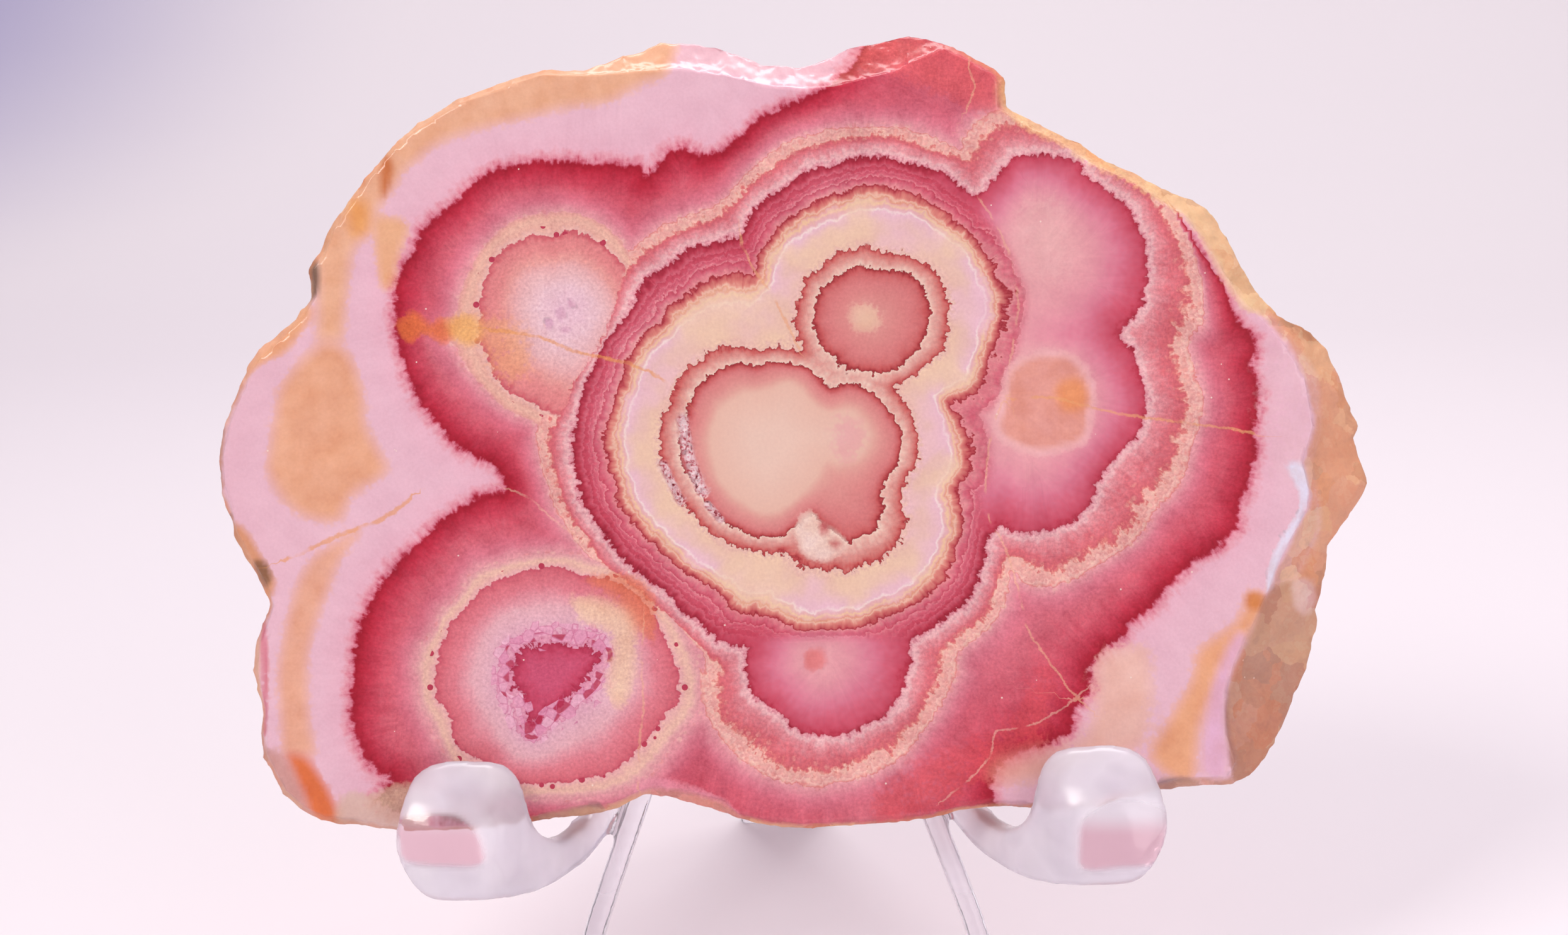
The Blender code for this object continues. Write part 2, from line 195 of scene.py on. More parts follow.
# the bands of the stone: closed outlines on the face, in millimetres
bands = {
    "peachHeart": [
        (-8.3, -1.5), (-8.2, 0), (-7.5, 2), (-6.5, 2.9), (-5, 3.8), (-3.3, 4), (-1.5, 4.6), (-0.5, 4.8),
        (0.6, 4.2), (1.6, 3), (2.6, 2.2), (3.4, 2), (4.5, 2.3), (5.6, 2.1), (6.6, 1.2), (7.2, 0),
        (7.1, -1.2), (6.4, -2.4), (5.2, -3.1), (3.6, -3.2), (2.9, -3.1), (2.6, -4), (1.9, -4.9), (1, -5.8),
        (-0.2, -6.8), (-1.5, -7.6), (-2.8, -7.9), (-4.2, -7.5), (-5.5, -6.7), (-6.6, -5.6), (-7.5, -4.5),
        (-8, -3)],
    "upperEye": [
        (6.2, 15.8), (4.9, 15.3), (4, 14.8), (3.2, 14.2), (2.4, 13.4), (1.9, 12.5), (1.8, 11.6),
        (1.6, 10.5), (1.8, 9.6), (2.2, 8.6), (2.6, 7.7), (3.7, 7), (4.6, 6.1), (5.8, 5.7), (7.4, 5.4),
        (8.5, 5.5), (9.9, 5.9), (10.8, 6.8), (11.7, 7.5), (12.25, 8.6), (12.6, 9.5), (12.8, 10.4),
        (12.9, 12), (12.4, 13), (12.1, 13.9), (11.2, 14.8), (9.9, 15.2), (8.5, 15.3), (7.4, 15.5)],
    "lowerEye": [
        (3.2, 4.16), (1.43, 5.86), (0.7, 6.2), (-2.1, 6.6), (-3.9, 6.1), (-5, 6.5), (-6.4, 6.2),
        (-7.7, 5.7), (-8.6, 4.8), (-9.3, 4.2), (-9.7, 3.4), (-10, 2.6), (-10.2, 1.75), (-10.4, 1),
        (-11, 0.14), (-11, -1.6), (-10.9, -2.9), (-10, -4.5), (-9.5, -5.4), (-8.6, -6.6), (-8, -7.5),
        (-7.3, -8.25), (-6.4, -8.8), (-5, -9.5), (-4.3, -9.9), (-2.9, -10.1), (-1.4, -10.1), (0, -9.1),
        (0.9, -8.4), (1.6, -7.9), (2.3, -8.8), (3.9, -10), (4.75, -10.75), (6.2, -10.2), (7.1, -10),
        (7.9, -9.5), (8.05, -8.6), (8.3, -7.9), (8.3, -7), (8.2, -5.9), (8.7, -4.6), (9.7, -3.2),
        (10.2, -2), (10.1, 0), (9.8, 0.7), (9.1, 1.6), (8.5, 2.6), (7.5, 3.5), (6.6, 4.1), (5.1, 4.5),
        (4, 4.2)],
    "coralRing": [
        (6.7, 17.5), (5.5, 17.2), (4, 16.9), (3.1, 16.25), (1.9, 15.2), (0.8, 14.3), (0.5, 12.9),
        (0, 11.4), (0, 10), (0.2, 8.9), (0.7, 8), (0.5, 7.6), (-0.8, 7.8), (-1.9, 8), (-2.9, 7.9),
        (-4, 7.7), (-5.5, 8), (-7.1, 7.8), (-8.4, 7.5), (-9.1, 6.9), (-10, 6.2), (-10.9, 5.6),
        (-11.25, 4.6), (-11.8, 3.7), (-12.1, 2.2), (-12.8, 1.4), (-13, 0.3), (-12.9, -2), (-12.9, -3.1),
        (-12.3, -4.1), (-11.7, -5.7), (-11.1, -6.6), (-10.4, -7.1), (-9.7, -8.1), (-9, -9), (-8.1, -9.7),
        (-7.4, -10.1), (-6.3, -10.75), (-4.9, -11.2), (-3.8, -11.5), (-2.9, -11.55), (-1.5, -11.4),
        (-0.9, -11.4), (-0.8, -12.1), (0, -12.4), (0.3, -13.1), (1.4, -13.4), (3.7, -13.4), (6, -13.1),
        (7.1, -12.7), (8.3, -12.3), (8.5, -11.8), (9.9, -10.7), (10.2, -10), (10.6, -8.6), (10.3, -7.5),
        (10.4, -6.4), (10.3, -5.4), (10.8, -4.1), (11.4, -3.6), (11.8, -1.8), (11.5, 0), (11.4, 1.2),
        (10.8, 2.1), (10.3, 3), (9.5, 4.2), (10.6, 4.8), (11.5, 5.4), (12.6, 6.25), (13.7, 7.1),
        (14.2, 8.2), (14.4, 9.5), (14.7, 11), (14.75, 12.3), (14.2, 13), (14, 14.3), (13.5, 15.2),
        (12.6, 15.7), (11.5, 16.4), (10.3, 16.9), (8.5, 17)],
    "pinkLine": [
        (8, 23.4), (5.7, 23.1), (4.6, 22.6), (3.6, 22.5), (2, 21.75), (0.7, 21.2), (-0.7, 20.1),
        (-1.8, 19.4), (-2.3, 18.7), (-3, 17.8), (-3.4, 16.75), (-3.8, 14.8), (-4.6, 15), (-5.7, 15.05),
        (-6.8, 14.8), (-7.9, 14.7), (-8.6, 14.3), (-9.3, 13.9), (-10, 13.2), (-11.1, 12.55),
        (-12.1, 11.75), (-12.9, 10.3), (-14.5, 9.25), (-15.2, 8.5), (-15.9, 7), (-16.6, 5), (-17.3, 2.8),
        (-17.8, 1.4), (-18, 0.3), (-18.2, -0.9), (-17.9, -2.4), (-17.7, -4.1), (-17.1, -5.2),
        (-17.05, -6.6), (-16.2, -8.1), (-15.2, -9.3), (-14.3, -10.2), (-13.2, -10.9), (-12.9, -11.5),
        (-11.7, -12.5), (-10.4, -13.6), (-9.4, -14.3), (-8.1, -15), (-7, -15.8), (-6.3, -16.6),
        (-5.6, -17.3), (-4, -17.5), (-2.6, -17.7), (-1.5, -18.1), (-0.6, -18.8), (1.2, -19.1), (3.1, -19),
        (4.9, -19), (6.5, -18.6), (7.6, -18.25), (8.1, -17.7), (9.75, -17.2), (11, -16.6), (11.9, -16.1),
        (12.8, -15.4), (13.4, -15), (14.6, -13.6), (15.1, -12.3), (15.4, -11.1), (15.7, -10), (15.8, -8.6),
        (15.7, -7.1), (15.5, -6.1), (15.3, -5.5), (15.8, -4.8), (16.5, -3.9), (16.5, -2), (16.3, -0.5),
        (16, 0.2), (15.3, 1.6), (14.75, 2.5), (15.6, 2.9), (17.1, 3.6), (17.6, 4.3), (18, 5.4),
        (18.3, 6.6), (19, 7.9), (19.4, 9.3), (19.75, 11), (19.9, 12.9), (19.2, 14.3), (18.9, 15.5),
        (18, 16.8), (17.4, 18), (16.5, 18.9), (15.3, 20), (13.7, 21.2), (12, 22.3), (10, 23)],
    "magentaEdge": [
        (8, 26.1), (5, 25.7), (3.2, 25.2), (1.4, 24.9), (0.2, 24), (-1.1, 23.2), (-2.5, 22.3),
        (-3.6, 21.4), (-4.6, 20.1), (-5, 19.2), (-5.3, 18.4), (-6.4, 18.3), (-7.5, 18.1), (-8.6, 17.6),
        (-9.6, 17.5), (-10.9, 16.9), (-11.25, 16.2), (-12.5, 15.7), (-12.9, 15.1), (-14.1, 14.6),
        (-14.3, 13.9), (-15.2, 13.4), (-15.4, 12.6), (-15.8, 11.75), (-16.1, 10.9), (-16.8, 10),
        (-17.7, 9.1), (-18.4, 8.2), (-19.4, 5.8), (-20.2, 3.8), (-20.8, 1.6), (-21.1, -0.5), (-21.1, -2.9),
        (-20.6, -5.3), (-19.8, -7.5), (-18.2, -9.5), (-17, -11.4), (-14.8, -13.5), (-12.9, -14.9),
        (-11.7, -15.75), (-10.8, -17), (-9.7, -17.9), (-8.3, -19.1), (-7, -20), (-6, -20.2), (-4.3, -20.6),
        (-4.7, -21.8), (-4.5, -23.5), (-4, -25), (-2.5, -26), (-1, -27.3), (0, -28.2), (1.5, -28.8),
        (2.8, -29), (5, -28.6), (6.5, -28), (8.5, -26.8), (9.8, -25.3), (10.5, -23.5), (11, -22),
        (10.9, -20.6), (11.2, -19.8), (12.25, -19.1), (13.3, -18.5), (14.4, -17.7), (15.8, -16.6),
        (16.5, -15.7), (17.25, -14.5), (17.6, -13.2), (18, -12.1), (18.1, -11.1), (18.5, -10), (19.5, -9),
        (20.3, -9.4), (22, -9.6), (24, -9.4), (25.5, -9), (27, -8), (28, -6.8), (28.5, -5.3), (29.5, -3.7),
        (31, -2), (32.3, -0.5), (32.8, 0.5), (33.3, 3.3), (32.8, 5), (32.3, 6.8), (31.5, 8), (30.7, 9.2),
        (31.3, 10), (32.5, 11.5), (33.2, 13), (33.2, 16), (33.3, 18), (32.4, 19.5), (31.8, 21), (30, 22.4),
        (28.5, 23.6), (27.3, 24.5), (27, 25.5), (25.5, 25.9), (22, 26.2), (20.5, 25.9), (19.5, 24.8),
        (18.5, 23.5), (17, 22.2), (15, 23.5), (14, 24.5), (12, 25), (10, 25.7)],
    "leftDots": [
        (-16, 15.5), (-17, 16.5), (-18, 17.5), (-19, 18), (-20, 18.8), (-21.5, 19), (-23, 18.5),
        (-25, 18.7), (-26, 18.2), (-27.5, 17.5), (-28.5, 16.5), (-29.5, 14.8), (-30, 12), (-30, 10.5),
        (-30.2, 9), (-29.5, 7.5), (-28.8, 5.5), (-27.5, 4), (-26, 3), (-24, 2), (-21, 0.5), (-18, 2),
        (-15, 8), (-14, 12)],
    "leftCream": [
        (-15.2, 16), (-15.8, 16.8), (-16.5, 18), (-18, 19.5), (-20, 20.5), (-22, 20.8), (-26, 20.3),
        (-28, 19), (-30, 17), (-31.5, 14), (-32, 12), (-32.5, 10.5), (-33, 9), (-31.5, 6.5), (-30, 4.5),
        (-28.5, 3), (-27, 1.8), (-25, 1), (-23, -0.5), (-20, 0), (-15, 8), (-13.5, 12)],
    "lowCore": [
        (-26.5, -21), (-25, -20.3), (-22.5, -20.1), (-20, -20.2), (-18.8, -20.7), (-18.4, -21.5),
        (-19.5, -23.5), (-20.5, -24.5), (-22, -25.8), (-23.5, -26.7), (-24.5, -27.8), (-25.2, -28),
        (-25.8, -25), (-27, -24.2), (-26.8, -23)],
    "lowDots": [
        (-34.3, -24), (-34, -22), (-33.5, -20), (-32.8, -18.2), (-31.5, -16.8), (-30, -15.2),
        (-28.5, -14.2), (-27, -13.5), (-25, -13), (-22.5, -12.8), (-20.5, -13.5), (-19, -13.7),
        (-16.5, -14.5), (-14.5, -16), (-12.5, -19), (-11.3, -22), (-11, -25.5), (-12.5, -27.5),
        (-14.5, -30), (-16, -31.5), (-18, -32.7), (-22, -33.3), (-25, -33.5), (-28, -33), (-29.5, -31.2),
        (-31, -30.8), (-32, -30), (-32.8, -28.5), (-33, -27), (-34, -25.5)],
    "lowCream": [
        (-36, -23), (-35.8, -21), (-35, -19.8), (-34, -18.5), (-33.5, -17), (-32, -15.8), (-31, -14),
        (-30, -13), (-28, -12.5), (-26, -11.9), (-22, -11.6), (-19, -12.2), (-16, -13), (-12.5, -16),
        (-10.5, -19), (-9.3, -22), (-9, -26), (-11, -29), (-13, -31.5), (-15, -33.5), (-19, -34.6),
        (-25, -35), (-30, -34.5), (-32.5, -32.5), (-33, -31), (-33.5, -30), (-34, -29), (-34.8, -27.5),
        (-35.5, -26)],
    "creamLace": [
        (-15.8, 16.7), (-14.8, 17.8), (-12.4, 19.5), (-9.6, 20.6), (-7.2, 21.6), (-5.8, 23), (-4.7, 24.4),
        (-2.7, 26.1), (-0.6, 27.5), (2.2, 28.4), (5.7, 28.9), (9.8, 28.7), (12.6, 28), (14.7, 27),
        (15.7, 26.7), (16.2, 28.2), (17.8, 29.8), (20, 30.6), (24, 29.6), (27.5, 28), (30.5, 26),
        (33.5, 24), (36, 21), (37.5, 18), (38.5, 15), (38.9, 13), (38.7, 10), (37.2, 8.5), (37.9, 6),
        (38.6, 3.5), (38.6, 1.5), (37.6, -1.5), (37, -4), (36, -5.7), (34, -7.7), (33, -9.7), (31, -11.3),
        (29, -12.5), (27, -13.7), (25, -14.7), (23, -14.8), (21.6, -14.2), (20.5, -13.1), (20.2, -14.8),
        (19.7, -16.6), (18.6, -18.3), (16.8, -19.8), (15.2, -21.2), (15.3, -22.8), (14.4, -24.9),
        (13.1, -27), (12, -28.5), (10.4, -30.6), (8.5, -31.9), (6.1, -32.9), (3.5, -33.5), (1, -33.7),
        (-1.5, -33.1), (-4, -32), (-6.2, -30.1), (-7.8, -28), (-8.7, -26), (-8.9, -23.7), (-8.5, -21.5),
        (-9.6, -19.9), (-11.5, -18.1), (-13.5, -16.4), (-15.6, -14.8), (-17.6, -13.3), (-19.6, -11.7),
        (-21.3, -9.7), (-22.8, -7.2), (-23.5, -5), (-24.3, -2.4), (-24.5, 0), (-24, 1.6), (-22.8, 1.6),
        (-22, 2.6), (-21, 4.8), (-19.9, 6.6), (-18.5, 8.4), (-17.6, 11), (-16.8, 13.5), (-16.2, 15.4)],
    "crimsonEdge": [
        (-33, -0.5), (-34.5, 1.5), (-35.5, 3), (-36.6, 5), (-37.3, 7), (-37.5, 9), (-38, 11), (-37.8, 13),
        (-38, 14), (-36, 17.5), (-35, 19.3), (-33, 21), (-31, 23), (-29, 24.5), (-27, 25), (-25, 25.4),
        (-22, 25.6), (-20, 25.3), (-15, 25), (-14.3, 24), (-13.3, 25), (-12, 26.3), (-10.5, 26.8),
        (-9, 26), (-7.5, 26.2), (-6.5, 27), (-5, 28), (-4, 29), (-2.5, 30), (0, 31), (2, 32), (5, 34.5),
        (8, 39), (16, 40), (22, 36), (24, 29.5), (28, 27), (33, 22.5), (37, 18.5), (40, 14.5),
        (41.8, 10.5), (43, 9), (43.6, 8), (43.2, 6), (44, 3.2), (43.3, 0), (43.7, -1), (43.3, -3),
        (43, -5), (42, -7), (41.7, -9), (40, -11), (38, -12), (36.5, -13.5), (35, -14.8), (34, -16.5),
        (32, -18), (31, -19.3), (29, -21), (27.7, -22.5), (28, -24.5), (26.5, -26.5), (26, -28.5),
        (24, -29.5), (21, -30.5), (19.5, -31.5), (18.5, -34), (18, -39), (0, -42), (-14, -39), (-38, -36),
        (-38, -33), (-40, -32), (-41.8, -28), (-41.8, -22), (-41.5, -20), (-40.7, -17.5), (-39.8, -15.5),
        (-38.5, -13.5), (-37.3, -12.3), (-36, -11), (-34.8, -9.8), (-34.2, -9), (-32.5, -7.7), (-31, -7),
        (-30, -6.3), (-28.5, -5.9), (-27.2, -5.4), (-28.2, -3.5), (-29, -2.9), (-30.5, -2.4), (-32, -1.2)],
}


def traced(points, closed=True, steps=3):
    # a smooth line through the points
    knots = np.array(points, float)
    if closed:
        before, after, later = np.roll(knots, 1, 0), np.roll(knots, -1, 0), np.roll(knots, -2, 0)
    else:
        before = np.vstack([knots[:1], knots[:-2]])
        after = knots[1:]
        later = np.vstack([knots[2:], knots[-1:]])
        knots = knots[:-1]
    line = []
    for t in np.arange(steps) / steps:
        square, cube = 2 * before - 5 * knots + 4 * after - later, 3 * knots - before - 3 * after + later
        line.append(0.5 * (2 * knots + (after - before) * t + square * t ** 2 + cube * t ** 3))
    line = np.stack(line, 1).reshape(-1, 2)
    return np.vstack([line, line[:1] if closed else after[-1:]])


def reach(places, line):
    # for each place: distance to the line, length along it, and which side (negative inside)
    places, line = places.astype(np.float32), line.astype(np.float32)
    start, way = line[:-1], np.diff(line, axis=0)
    size = (way ** 2).sum(1) + 1e-9
    along = np.concatenate([[0], np.cumsum(np.sqrt(size))])
    far, arc, side = (np.zeros(len(places)) for k in range(3))
    for first in range(0, len(places), batch):
        at = places[first:first + batch]
        du, dv = at[:, None, 0] - start[None, :, 0], at[:, None, 1] - start[None, :, 1]
        t = np.clip((du * way[:, 0] + dv * way[:, 1]) / size, 0, 1)
        gap = (du - t * way[:, 0]) ** 2 + (dv - t * way[:, 1]) ** 2
        best = gap.argmin(1)
        rows = np.arange(len(at))
        far[first:first + batch] = np.sqrt(gap[rows, best])
        arc[first:first + batch] = along[best] + t[rows, best] * np.sqrt(size[best])
        crossing = ((start[None, :, 1] > at[:, None, 1]) != (line[None, 1:, 1] > at[:, None, 1]))
        slope = du - way[:, 0] * dv / np.where(np.abs(way[:, 1]) < 1e-6, 1e-6, way[:, 1])
        side[first:first + batch] = np.where((crossing & (slope < 0)).sum(1) % 2 == 1, -1, 1)
    return far, arc, side


def openReach(places, points):
    # distance to an open line, negative on its left, for cracks
    line = traced(points, closed=False)
    far, arc, side = reach(places, line)
    start, way = line[:-1], np.diff(line, axis=0)
    middle = start + way / 2
    ends = np.cumsum(np.hypot(way[:, 0], way[:, 1]))
    nearest = np.clip(np.searchsorted(ends, arc - 1e-4), 0, len(way) - 1)
    along, up = (places - middle[nearest]).T
    turn = way[nearest, 0] * up - way[nearest, 1] * along
    return np.where(turn > 0, -far, far)


def nearBox(places, points, margin):
    # which places lie near the box round some points
    low, high = np.array(points).min(0) - margin, np.array(points).max(0) + margin
    return np.nonzero(((places > low) & (places < high)).all(1))[0]


def easeStep(value, start, end):
    t = np.clip((value - start) / (end - start), 0, 1)
    return t * t * (3 - 2 * t)


stone = {
    "cut": 1.8,                  # mm between the first cuts, halved twice in front and once behind
    "cutReach": (56, 39),        # mm that the cuts cover to each side of the middle
    "frontHalf": -2.4,           # mm behind the face, where the finer cuts end
    "skin": -0.1,                # mm behind the face, where the pockets' cuts end
    "rimDepths": (-5.93, -0.05), # mm behind the face between which a point belongs to the rim
    "leanIn": (0.12, -0.08),     # how far the bands shift for each mm of depth
    "softening": 5,              # rounds of smoothing on the rim
    "roughness": 0.22,           # mm of breakage on the rim
    "crags": 0.35,               # repeats for each mm, coarse and fine
    "chips": 0.9,
    "crease": 38,                # degrees, where the rim meets the faces
    "rimEase": (0.15, 0.7),      # mm behind the face over which the crust sets in
    "backEase": (-5.98, -5.6),   # mm, the same at the back
    "bevelUp": (29, 31.5),       # mm, the polished bevel on the top edge: its lower edge and its two sides
    "bevelLeft": (-24, -18),
    "bevelRight": (-17, -13),
    "pocketDepth": 0.5,          # mm that the open pockets are sunk
    "upperHeart": (6.7, 10.7),
    "leftHeart": (-21.5, 11.5),
    "lowerBud": (1.9, -21.6),
    "rightBuds": ((23.4, 18.5), (23.8, 2.6)),
    "lowerBudTop": (18.4, 20.4),  # mm below the middle where the lower bud begins
    "rightBudsFrom": (13, -9.7),  # mm, the left and the lower limit of the two on the right
    "rightBudsSplit": (7.6, 9.4), # mm, where the one gives way to the other
    "polish": 0.12,              # roughness of the polished face
    "body": {"IOR": 1.6, "Specular IOR Level": 0.3, "Coat Weight": 0.08, "Coat Roughness": 0.06,
             "Subsurface Weight": 0.1, "Subsurface Radius": (1.0, 0.45, 0.4), "Subsurface Scale": 0.0008},
}

# where the outlines lie on the scale of the bands, and the changes between them
bandAt = {
    "lowerHeart": 3.2, "eyes": 4, "coral": 6.5, "pink": 12, "magenta": 15, "lace": 19, "crimson": 28,
    "dots": 6, "cream": 8, "nestSplit": -5.0,
    "coreStart": 6.6, "coreEnd": 11.2, "ringStart": 12.0, "redEnd": 14.98, "laceStart": 17.0,
    "fieldStart": 19.05, "crimsonEnd": 28.02,
    "beadStart": 5.8, "beadEnd": 6.8,
}


def bandFields(places):
    # where each place lies among the bands: the main bands, the two left nests, and how far round
    traces = {name: reach(places, traced(points)) for name, points in bands.items()}
    far = {name: got[0] for name, got in traces.items()}
    inside = {name: got[2] < 0 for name, got in traces.items()}
    signed = {name: got[0] * got[2] for name, got in traces.items()}
    arc = {name: got[1] for name, got in traces.items()}
    u, v = places[:, 0], places[:, 1]

    def share(near, beyond):
        return near / (near + beyond + 1e-9)

    def fromHeart(heart, edge):
        return share(np.hypot(u - heart[0], v - heart[1]), edge)

    eyes = np.minimum(far["upperEye"], far["lowerEye"])
    inNests = inside["leftCream"] | inside["lowCream"]
    a, b, toEdge = far["magentaEdge"], far["creamLace"], far["crimsonEdge"]

    # from the rim of the slice inwards, each ring painted over the one before
    main = bandAt["crimson"] + toEdge
    outward = np.minimum(np.minimum(b, far["leftCream"]), far["lowCream"])
    outward = np.where(inside["creamLace"] | inNests, 0, outward)
    field = bandAt["lace"] + np.minimum(outward, 2.5) + 4 * share(outward, toEdge)
    field = field + 2.5 - np.minimum(toEdge, 2.5)
    main = np.where(inside["crimsonEdge"], field, main)
    nestArea = inNests & ~inside["creamLace"]
    main = np.where(nestArea, bandAt["lace"], main)
    middle = np.clip((a - 1.3) / np.maximum(np.abs(a - 1.3) + np.abs(b - 1), 0.05), 0, 1)
    lace = bandAt["magenta"] + np.minimum(a, 1.3) + 1.7 * middle + 1 - np.minimum(b, 1)
    main = np.where(inside["creamLace"], lace, main)

    # round buds stand among the magenta rings, one below and two on the right
    low = easeStep(-v, *stone["lowerBudTop"])
    leftEnd, lowEnd = stone["rightBudsFrom"]
    right = easeStep(far["pinkLine"], 1.2, 2.6) * (u > leftEnd) * (v > lowEnd)
    upper = easeStep(v, *stone["rightBudsSplit"])
    upperBud, lowerBud = (fromHeart(place, a) for place in stone["rightBuds"])
    heart = (1 - low) * (upper * upperBud + (1 - upper) * lowerBud)
    heart = heart + low * (0.3 + 0.7 * fromHeart(stone["lowerBud"], a))
    isBud = np.maximum(low, right) * inside["magentaEdge"] * ~inside["pinkLine"]
    rings = bandAt["pink"] + 3 * share(far["pinkLine"], a)
    rings = rings * (1 - isBud) + isBud * (14.9 - np.minimum(a, 1.5))
    main = np.where(inside["magentaEdge"], rings, main)

    # the cream core, the coral ring and the two eyes
    core = bandAt["coral"] + 5.5 * share(far["coralRing"], far["pinkLine"])
    main = np.where(inside["pinkLine"], core, main)
    main = np.where(inside["coralRing"], bandAt["eyes"] + 2.5 * share(eyes, far["coralRing"]), main)
    edge = 0.75 * (1 - np.minimum(eyes, 0.8) / 0.8)
    lowerEye = bandAt["lowerHeart"] * share(far["peachHeart"], far["lowerEye"]) + edge
    main = np.where(inside["lowerEye"], lowerEye, main)
    main = np.where(inside["peachHeart"], -far["peachHeart"], main)
    upperEye = 0.5 + 2.7 * fromHeart(stone["upperHeart"], eyes) ** 1.1 + edge
    main = np.where(inside["upperEye"], upperEye, main)

    # the two nests on the left have a scale of their own
    dots, cream = bandAt["dots"], bandAt["cream"]
    left = np.where(inside["leftDots"], dots * fromHeart(stone["leftHeart"], far["leftDots"]),
                    dots + 2 * share(far["leftDots"], far["leftCream"]))
    left = np.where(inside["leftCream"], left, cream + far["leftCream"])
    fringe = np.minimum(far["lowCore"], 1.2) / 1.2
    beyond = np.maximum(far["lowCore"] - 1.2, 0)
    low = np.where(inside["lowDots"], fringe + 5 * share(beyond, far["lowDots"]),
                   dots + 2 * share(far["lowDots"], far["lowCream"]))
    low = np.where(inside["lowCore"], -far["lowCore"], low)
    low = np.where(inside["lowCream"], low, cream + far["lowCream"])
    isLeft = v > bandAt["nestSplit"]
    nest = np.where(isLeft, left, low)

    # how far round the nearest outline, in mm
    around = np.where(main < 13.2, arc["pinkLine"], arc["magentaEdge"])
    around = np.where(main < 9, arc["coralRing"], around)
    eyeArc = np.where(far["upperEye"] < far["lowerEye"], arc["upperEye"], arc["lowerEye"])
    around = np.where(main < 5.2, eyeArc, around)
    around = np.where(main > 17, arc["creamLace"], around)
    around = np.where(main > 22, arc["crimsonEdge"], around)
    around = np.where(nestArea, np.where(isLeft, arc["leftDots"], arc["lowDots"]), around)
    return main, nest, signed["creamLace"], around, heart, isBud


def crackFields(places):
    # side distance to the nearest crack, its half width and how orange it is
    best, half, orange = np.full(len(places), 90.0), np.full(len(places), 0.1), np.zeros(len(places))
    for width, warmth, points in cracks:
        close = nearBox(places, points, 3)
        gap = openReach(places[close], points)
        nearer = np.abs(gap) < np.abs(best[close])
        for new, old in ((gap, best), (width, half), (warmth, orange)):
            old[close] = np.where(nearer, new, old[close])
    return best, half, orange


def druseField(places):
    # 1 in the open crystal pockets, 0 away from them
    mask = np.zeros(len(places))
    for width, points in pockets:
        close = nearBox(places, points, 2)
        far = np.abs(openReach(places[close], points))
        mask[close] = np.maximum(mask[close], 1 - easeStep(far, width * 0.5, width * 1.2))
    return mask


# cracks across the face: half width in mm, how orange, and the way they run
cracks = [
    (0.12, 0.7, [
        (0.3, 7.9), (-0.5, 9.5), (-1.6, 11.8), (-2.7, 13.6), (-3.8, 15), (-4.4, 16.3), (-5, 17.5),
        (-5.2, 18.6)]),
    (0.15, 1.0, [
        (-29, 9.6), (-27, 9.4), (-24, 8.8), (-21, 7.6), (-18, 6.9), (-15.5, 6.3), (-13, 5.2),
        (-11.8, 4.2)]),
    (0.12, 0.8, [
        (20, 3), (24, 3.2), (27.8, 2.3), (31.5, 1.5), (34.5, 1.1), (37.6, 0.7), (40.7, 0.3),
        (43.4, -0.2)]),
    (0.1, 0.4, [
        (17.4, 22), (18.8, 20), (20.2, 17), (20.9, 14), (21.1, 11.5), (20.8, 9.2), (20.4, 6.8)]),
    (0.1, 0.5, [
        (19.9, 3.2), (18.7, 0.3), (18.2, -2.8), (18, -5.4), (18.4, -8.4), (19.6, -10.4), (20.3, -12.3),
        (20.8, -13.9), (21.4, -16.1), (21.8, -17.9), (22.25, -19.3), (23.5, -21), (26, -24.5),
        (28, -26.5)]),
    (0.09, 0.2, [
        (14, -35), (16, -33.4), (18, -31.5), (18.7, -30), (19, -28.5), (22, -28), (25, -26.5),
        (27.5, -24.5)]),
    (0.09, 0.3, [(-27.3, -5.4), (-25.2, -6.4), (-23.4, -8), (-21, -9.8)]),
    (0.2, 1.0, [(-48.4, -12.2), (-46, -11.2), (-44, -10.2), (-40, -8.7), (-38, -7.6), (-36.5, -6.4)]),
    (0.1, 0.5, [(-14.4, -18.5), (-14.6, -22), (-14.4, -26), (-14.8, -30), (-14.9, -36)]),
    (0.1, 0.5, [(16.8, 37), (16.4, 34.6), (17, 32.6), (16.2, 30.6)]),
]

# open pockets lined with crystals: width in mm and the way they run
pockets = [
    (0.6, [(-10.7, 1), (-10.4, -0.5), (-10.2, -2), (-9.8, -3.3), (-9.3, -4.6), (-8.8, -5.8)]),
    (0.4, [(-8.3, -7), (-7.7, -7.7), (-7.1, -8.4)]),
    (0.45, [(-12.5, -3.2), (-12, -4.4), (-11.4, -5.6), (-10.9, -6.6)]),
]


def toFace(places):
    # world metres to face millimetres
    back = np.array(faceFrame.inverted())
    return (places @ back[:3, :3].T + back[:3, 3]) / mm


def divideWhere(obj, test, cuts):
    # cuts up the faces whose middle passes the test
    bpy.ops.mesh.select_all(action="DESELECT")
    bpy.ops.object.mode_set(mode="OBJECT")
    centers = np.zeros(len(obj.data.polygons) * 3)
    obj.data.polygons.foreach_get("center", centers)
    obj.data.polygons.foreach_set("select", test(toFace(centers.reshape(-1, 3))))
    bpy.ops.object.mode_set(mode="EDIT")
    bpy.ops.mesh.subdivide(number_cuts=cuts)


